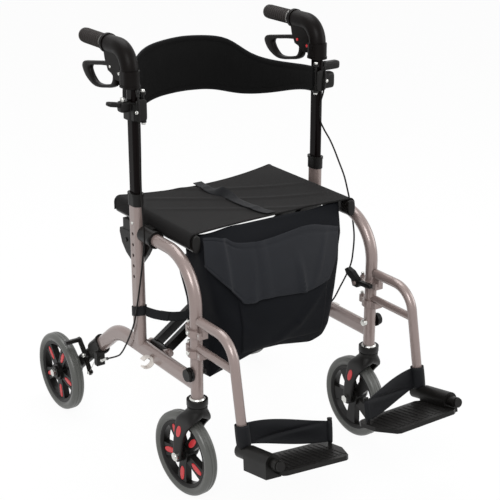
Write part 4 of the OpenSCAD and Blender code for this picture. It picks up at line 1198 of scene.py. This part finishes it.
class CHAIR_OT_forks(bpy.types.Operator):
    """Moulds the caster forks: arms that flow out of one neck, the cup, inserts and washer"""

    bl_idname = "chair.forks"
    bl_label = "Caster forks"

    # Height, front and rear edge, inner and outer face and squareness of an arm's sections
    ARM = ((85.6, 43, 47, 22, 26, 3), (87, 39, 51, 20.4, 27.6, 3.5), (91, 35.5, 54.5, 20, 28, 4.5),
           (98, 32, 58, 20, 28, 5), (110, 28.6, 58, 20, 28, 5), (122, 26.6, 57, 20, 28, 5),
           (136, 24, 56, 20, 28, 5), (150, 20.5, 54, 20, 28, 5), (164, 14.5, 51, 20, 28.2, 5),
           (178, 6, 48, 20, 28.6, 5), (190, -4, 45, 20, 29.2, 5), (199, -12, 42, 18.5, 29.6, 4.5),
           (205, -16, 39, 9, 29.6, 3.8), (211, -19, 35, -4, 29, 3.2), (216.5, -21, 31, -14, 27.5, 2.6),
           (222, -21.8, 27, -20, 25.5, 2.2), (227, -21.6, 23.5, -21.4, 23, 2),
           (231, -21.5, 21.5, -21.5, 21.5, 2))
    # Radius and height of the cup's profile
    CUP = ((0, 247.4), (18.5, 247.4), (18.5, 253.2), (19.3, 254), (23.2, 254), (24, 253.2),
           (24, 240.4), (23.3, 239.4), (21.2, 239), (21.2, 237), (22.2, 236.7), (22.8, 236),
           (22.8, 230.6), (22, 229.8), (0, 229.8))
    # The same of the bearing ring between the cup and the end of the front tube
    BEARING = ((12, 247.2), (17.8, 247.2), (18, 253.8), (17.4, 254.8), (15, 257), (14.3, 257),
               (14.3, 255.2), (12, 255.2))
    # Place and lean of an arm's oval insert, and its length, width, dome height and squareness
    INSERT_AT = (27.9, 33.0, 168.0)
    INSERT_LEAN = 20
    INSERT = (33.2, 14.2, 1.6, 2.1)

    def execute(self, context):
        look = finishes()
        for side, sign in SIDES.items():
            self.stem = np.array([sign * STEM[0], STEM[1], 0.0])
            self.turn = TURN[side]
            body = f"{side}_caster"
            arms = surface(f"caster_fork_arms_{side}", self.place([self.arm(-1), self.arm(1)]),
                           look["nylon"], close_cols=True, caps=True)
            settle(arms, body, "black_plastic", f"caster_fork_{side}")
            cup = surface(f"caster_fork_cup_{side}", self.place(self.lathe(self.CUP)), look["nylon"],
                          close_cols=True)
            settle(cup, body, "black_plastic")
            ovals = surface(f"fork_inserts_{side}", [self.insert(way) for way in (-1.0, 1.0)],
                            look["accent"], close_cols=True)
            settle(ovals, body, None)
            washer = surface(f"stem_washer_{side}", self.place(self.lathe(self.BEARING)), look["zinc"],
                             close_rows=True, close_cols=True)
            settle(washer, body, "zinc_steel")
        return {"FINISHED"}

    def place(self, points):
        """Points round the stem, turned with the caster and set on their side."""
        return turned(np.asarray(points, float), self.turn) + self.stem

    def arm(self, way):
        """Rounded rectangles carried up from the axle eye: they lean forward, then widen into the
        neck, where the two arms share one ring."""
        rows = through(self.ARM, 103)
        z, front, rear, inner, outer, square = rows.T[..., None]
        a = around(44)
        x = way * ((inner + outer) / 2 + (outer - inner) / 2 * squared(np.cos(a), 2 / square))
        y = (front + rear) / 2 + (rear - front) / 2 * squared(np.sin(a), 2 / square)
        return point_grid(x, y, z)

    def lathe(self, profile):
        """A profile of radius and height turned about the stem."""
        r, z = np.array(profile).T[..., None]
        a = around(48)
        return point_grid(r * np.cos(a), r * np.sin(a), z)

    def insert(self, way):
        """An oval on one arm, its top leaning forward."""
        lean = math.radians(self.INSERT_LEAN)
        up = turned(np.array([0.0, -math.sin(lean), math.cos(lean)]), self.turn)
        out = turned(np.array([way, 0.0, 0.0]), self.turn)
        return button(self.place(mirrored(self.INSERT_AT, way)), out, up, *self.INSERT)


class CHAIR_OT_brake_levers(bpy.types.Operator):
    """Makes the loop brake levers under the grips"""

    bl_idname = "chair.brake_levers"
    bl_label = "Brake levers"

    PIVOT = (253, 111, 940)
    HALF_THICK = 7.6
    # Points of the loop between two points of its outline
    STEPS = 8
    # Outer and inner outline of the loop from its pivot, rearwards and up, at the same shares round it
    OUTER = ((-6, 5), (14, 8), (50, 2), (85, -4), (120, -10), (140, -14), (149, -22), (147, -32),
             (134, -46), (112, -57), (90, -62), (66, -61), (37, -56), (10, -50), (-6, -39), (-10, -16))
    INNER = ((8, -10), (20, -5), (52, -8), (82, -13), (100, -16), (109, -20), (112, -26), (108, -34),
             (101, -42), (92, -49), (82, -53), (62, -53), (35, -48), (16, -42), (8, -32), (6, -20))

    def execute(self, context):
        look = finishes()
        for side, sign in SIDES.items():
            lever = surface(f"brake_lever_loop_{side}", mirrored(self.loop(), sign), look["abs"],
                            close_rows=True, close_cols=True)
            settle(lever, f"{side}_brake_lever", "black_plastic", f"brake_lever_{side}")
        return {"FINISHED"}

    def loop(self):
        """A rounded section carried round the loop: its width runs from the inner to the outer
        outline, and it is thickest in the middle of the bar. Each outline is run on past its start,
        so that one whole turn of it is smooth at the seam."""
        turn = self.STEPS * len(self.OUTER)
        outer, inner = [through(edge + edge[:4], turn + 3 * self.STEPS + 1)[self.STEPS:self.STEPS + turn]
                        for edge in (self.OUTER, self.INNER)]
        a = around(24)[None, :, None]
        swing = squared(np.cos(a), 0.6)
        edge = (outer + inner)[:, None] / 2 + (outer - inner)[:, None] / 2 * swing
        x = self.HALF_THICK * squared(np.sin(a), 0.6)
        flat = np.broadcast_to(x, edge.shape[:2] + (1,))
        return np.concatenate([flat, edge], axis=-1) + np.array(self.PIVOT, float)


class CHAIR_OT_fasteners(bpy.types.Operator):
    """Adds the small fittings: buttons, screws, nuts, thumb levers, latch jaws, rail clips and wires"""

    bl_idname = "chair.fasteners"
    bl_label = "Small fittings"

    # Thumb lever and outer block of each backrest clamp: ends of a bar, its width and its height
    LEVERS = {"left": ((-266, 48, 867), (-313, 48, 876), 20, 10),
              "right": ((262, 48, 884), (314, 48, 884), 20, 20)}
    BLOCKS = {"left": ((-258, 45, 866), (-286, 45, 866), 24, 24),
              "right": ((258, 44, 851), (293, 44, 851), 26, 39)}
    # Hinge leaf of a clamp and lower jaw of a latch: ends of a bar, the way it faces, width, thickness
    LEAF = ((244, 22, 832), (244, 22, 882), (0, -1, 0), 27, 6)
    JAW = ((215, -164, 417), (216, -218, 421), (0, 0, 1), 12, 11)
    # Domed heads: place on the right side, the way they face, width and height
    CLAMP_NUTS = (((*HINGE, 896), (0, 0, 1), 9.4, 5), ((*HINGE, 828), (0, 0, -1), 9.4, 5),
                  ((257.5, 20.5, 855), (0, -1, 0), 8, 3.5))
    LEVER_NUT = ((276, 46, 877.5), (0, 0, 1), 11, 8)
    KNOB_BOLT = ((228.6, STEM[1], 316), (-1, 0, 0), 15.8, 8.2)
    PIVOT_NUT = ((264.6, 309, 171.7), (1, 0, 0), 11, 5)
    WIRE_SCREW = ((265.2, 287, 132.7), (1, 0, 0), 7, 3)
    # The same round one eye of a footrest hanger, with heights from the eye's own
    EYES = (366, 414)
    EYE_BOLTS = (((262.5, -183, 2), (1, 0, 0), 9.5, 5), ((250, -206, 1), (0.5, -0.86, 0), 8, 4),
                 ((243, -153, 13.5), (0, 0, 1), 8.6, 4))
    # Height button: how deep it sits in the upright's face, its place there, width and height
    BUTTON_SINK = 3
    BUTTON_AT = (48, 597)
    BUTTON = (7.2, 4.6)
    # Screws of the handle housing: its two faces, their places there, width and height
    HOUSING = {"outer": (267.2, 1), "inner": (238.8, -1)}
    SCREWS_AT = ((111, 940), (73, 931))
    SCREW = (7, 1.8)
    # Ring at the grip's root: middle, radius, and radius of its wire
    GRIP_RING = (253, 153, 985)
    GRIP_RING_R = 17.4
    GRIP_WIRE_R = 1.3
    # Rail clip: middle, radius, stretch across, half thickness and half width of the strip, its ends
    CLIP = (270, -13, 282)
    CLIP_R = 13
    CLIP_OVAL = 1.14
    CLIP_STRIP = (2.1, 7.5)
    CLIP_ARC = (38, 318)
    # Bare brake wire on the right side, and its radius
    WIRE = ((262, 236, 186), (262, 256, 176), (262, 274, 152), (262, 287, 133))
    WIRE_R = 1.0

    def execute(self, context):
        look = finishes()
        for side, sign in SIDES.items():
            self.handle(side, sign, look)
            self.hanger(side, sign, look)
            self.rail(side, sign, look)
            self.brake(side, sign, look)
        return {"FINISHED"}

    def heads(self, name, body, sign, look, rows, finish="zinc", slot="zinc_steel"):
        """Domed heads on one body, a row for each."""
        domes = []
        for at, way, wide, high in rows:
            up = (0, 0.02, 1) if abs(way[2]) < 0.9 else (0, 1, 0)
            domes.append(button(mirrored(at, sign), mirrored(way, sign), up, wide, wide, high))
        settle(surface(name, domes, look[finish], close_cols=True), body, slot)

    def handle(self, side, sign, look):
        """Height button, housing screws, clamp nuts, thumb lever and the ring at the grip's root. The
        screws inside the right housing are red."""
        body = f"{side}_handle"
        outer = max(abs(corner[0]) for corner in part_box(f"upright_{side}")) / MM
        self.heads(f"height_button_{side}", body, sign, look,
                   [((outer - self.BUTTON_SINK, *self.BUTTON_AT), (1, 0, 0), *self.BUTTON)])
        for face, (x, way) in self.HOUSING.items():
            rows = [((x, *at), (way, 0, 0), *self.SCREW) for at in self.SCREWS_AT]
            finish = ("accent", None) if (face, side) == ("inner", "right") else ("zinc", "zinc_steel")
            self.heads(f"housing_{face}_screws_{side}", body, sign, look, rows, *finish)
        nuts = self.CLAMP_NUTS + ((self.LEVER_NUT,) if side == "left" else ())
        self.heads(f"clamp_nuts_{side}", body, sign, look, nuts)
        bars = [bar(start, end, (0, 0, 1), wide, high)
                for start, end, wide, high in (self.LEVERS[side], self.BLOCKS[side])]
        bars.append(mirrored(bar(*self.LEAF), sign))
        settle(surface(f"clamp_thumb_lever_{side}", bars, look["nylon"], close_cols=True), body,
               "black_plastic")
        a = around(48)
        circle = point_grid(self.GRIP_RING_R * np.cos(a), 0, self.GRIP_RING_R * np.sin(a))
        wire = tube(circle + mirrored(self.GRIP_RING, sign), self.GRIP_WIRE_R, (0, 1, 0), 10)
        ring = surface(f"grip_ring_{side}", wire, look["zinc"], close_rows=True, close_cols=True)
        settle(ring, body, "zinc_steel")

    def hanger(self, side, sign, look):
        """Bright bolt heads on the two rings that carry the footrest, and the latch's lower jaw."""
        rows = [((x, y, eye + z), *head) for eye in self.EYES for (x, y, z), *head in self.EYE_BOLTS]
        self.heads(f"hanger_bolts_{side}", f"{side}_hanger", sign, look, rows)
        jaw = surface(f"latch_jaw_{side}", mirrored(bar(*self.JAW), sign), look["nylon"], close_cols=True)
        settle(jaw, f"{side}_latch", "black_plastic")

    def rail(self, side, sign, look):
        """Bright head on the inner end of the right knob's bolt, and a sprung open ring on each rail
        that catches the folded seat rail: a rounded strip bent round to just short of a circle."""
        if side == "right":
            self.heads("rail_knob_bolt_right", "right_frame", sign, look, [self.KNOB_BOLT])
        turn = np.radians(np.linspace(*self.CLIP_ARC, 61))[:, None]
        a = around(24)
        thick, wide = self.CLIP_STRIP
        r = self.CLIP_R + thick * squared(np.cos(a), 0.5)
        y = wide * squared(np.sin(a), 0.4)
        grid = point_grid(self.CLIP_OVAL * r * np.cos(turn), y, r * np.sin(turn)) + self.CLIP
        clip = surface(f"rail_clip_ring_{side}", mirrored(grid, sign), look["clip"], close_cols=True,
                       caps=True)
        settle(clip, f"{side}_frame", "clear_clip", f"rail_clip_{side}")

    def brake(self, side, sign, look):
        """Nut on the brake's pivot, head of the wire clamp and the bare wire between them."""
        arm = f"{side}_brake_arm"
        self.heads(f"brake_pivot_nut_{side}", f"{side}_frame", sign, look, [self.PIVOT_NUT])
        self.heads(f"brake_wire_screw_{side}", arm, sign, look, [self.WIRE_SCREW])
        path = mirrored(through(self.WIRE, 25), sign)
        wire = rod(f"brake_wire_{side}", path, self.WIRE_R, (1, 0, 0), 8, look["zinc"])
        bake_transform(wire)


class CHAIR_PT_panel(bpy.types.Panel):
    """Lists the pieces and their values"""

    bl_idname = "CHAIR_PT_panel"
    bl_label = "Rollator transport chair"
    bl_space_type = "VIEW_3D"
    bl_region_type = "UI"
    bl_category = "Chair"

    def draw(self, context):
        for group in (context.scene.chair_finish, context.scene.chair_sizes):
            for name in group.__annotations__:
                self.layout.prop(group, name)
        for operator in OPERATORS:
            self.layout.operator(operator.bl_idname)


OPERATORS = (CHAIR_OT_stage, CHAIR_OT_cables, CHAIR_OT_rigid, CHAIR_OT_seat, CHAIR_OT_bag,
             CHAIR_OT_backrest, CHAIR_OT_footrests, CHAIR_OT_wheels, CHAIR_OT_forks,
             CHAIR_OT_brake_levers, CHAIR_OT_fasteners)
CLASSES = (ChairFinish, ChairSizes, *OPERATORS, CHAIR_PT_panel)


def register():
    """Registers the classes and hangs the two groups of values on the scene."""
    for kind in CLASSES:
        bpy.utils.register_class(kind)
    bpy.types.Scene.chair_finish = bpy.props.PointerProperty(type=ChairFinish)
    bpy.types.Scene.chair_sizes = bpy.props.PointerProperty(type=ChairSizes)


def unregister():
    """Takes the values and the classes away again."""
    del bpy.types.Scene.chair_sizes
    del bpy.types.Scene.chair_finish
    for kind in reversed(CLASSES):
        bpy.utils.unregister_class(kind)


def main():
    """Builds every piece in order."""
    register()
    bpy.ops.chair.stage()
    bpy.ops.chair.cables()
    bpy.ops.chair.rigid()
    bpy.ops.chair.seat()
    bpy.ops.chair.bag()
    bpy.ops.chair.backrest()
    bpy.ops.chair.footrests()
    bpy.ops.chair.wheels()
    bpy.ops.chair.forks()
    bpy.ops.chair.brake_levers()
    bpy.ops.chair.fasteners()


if __name__ == "__main__":
    main()
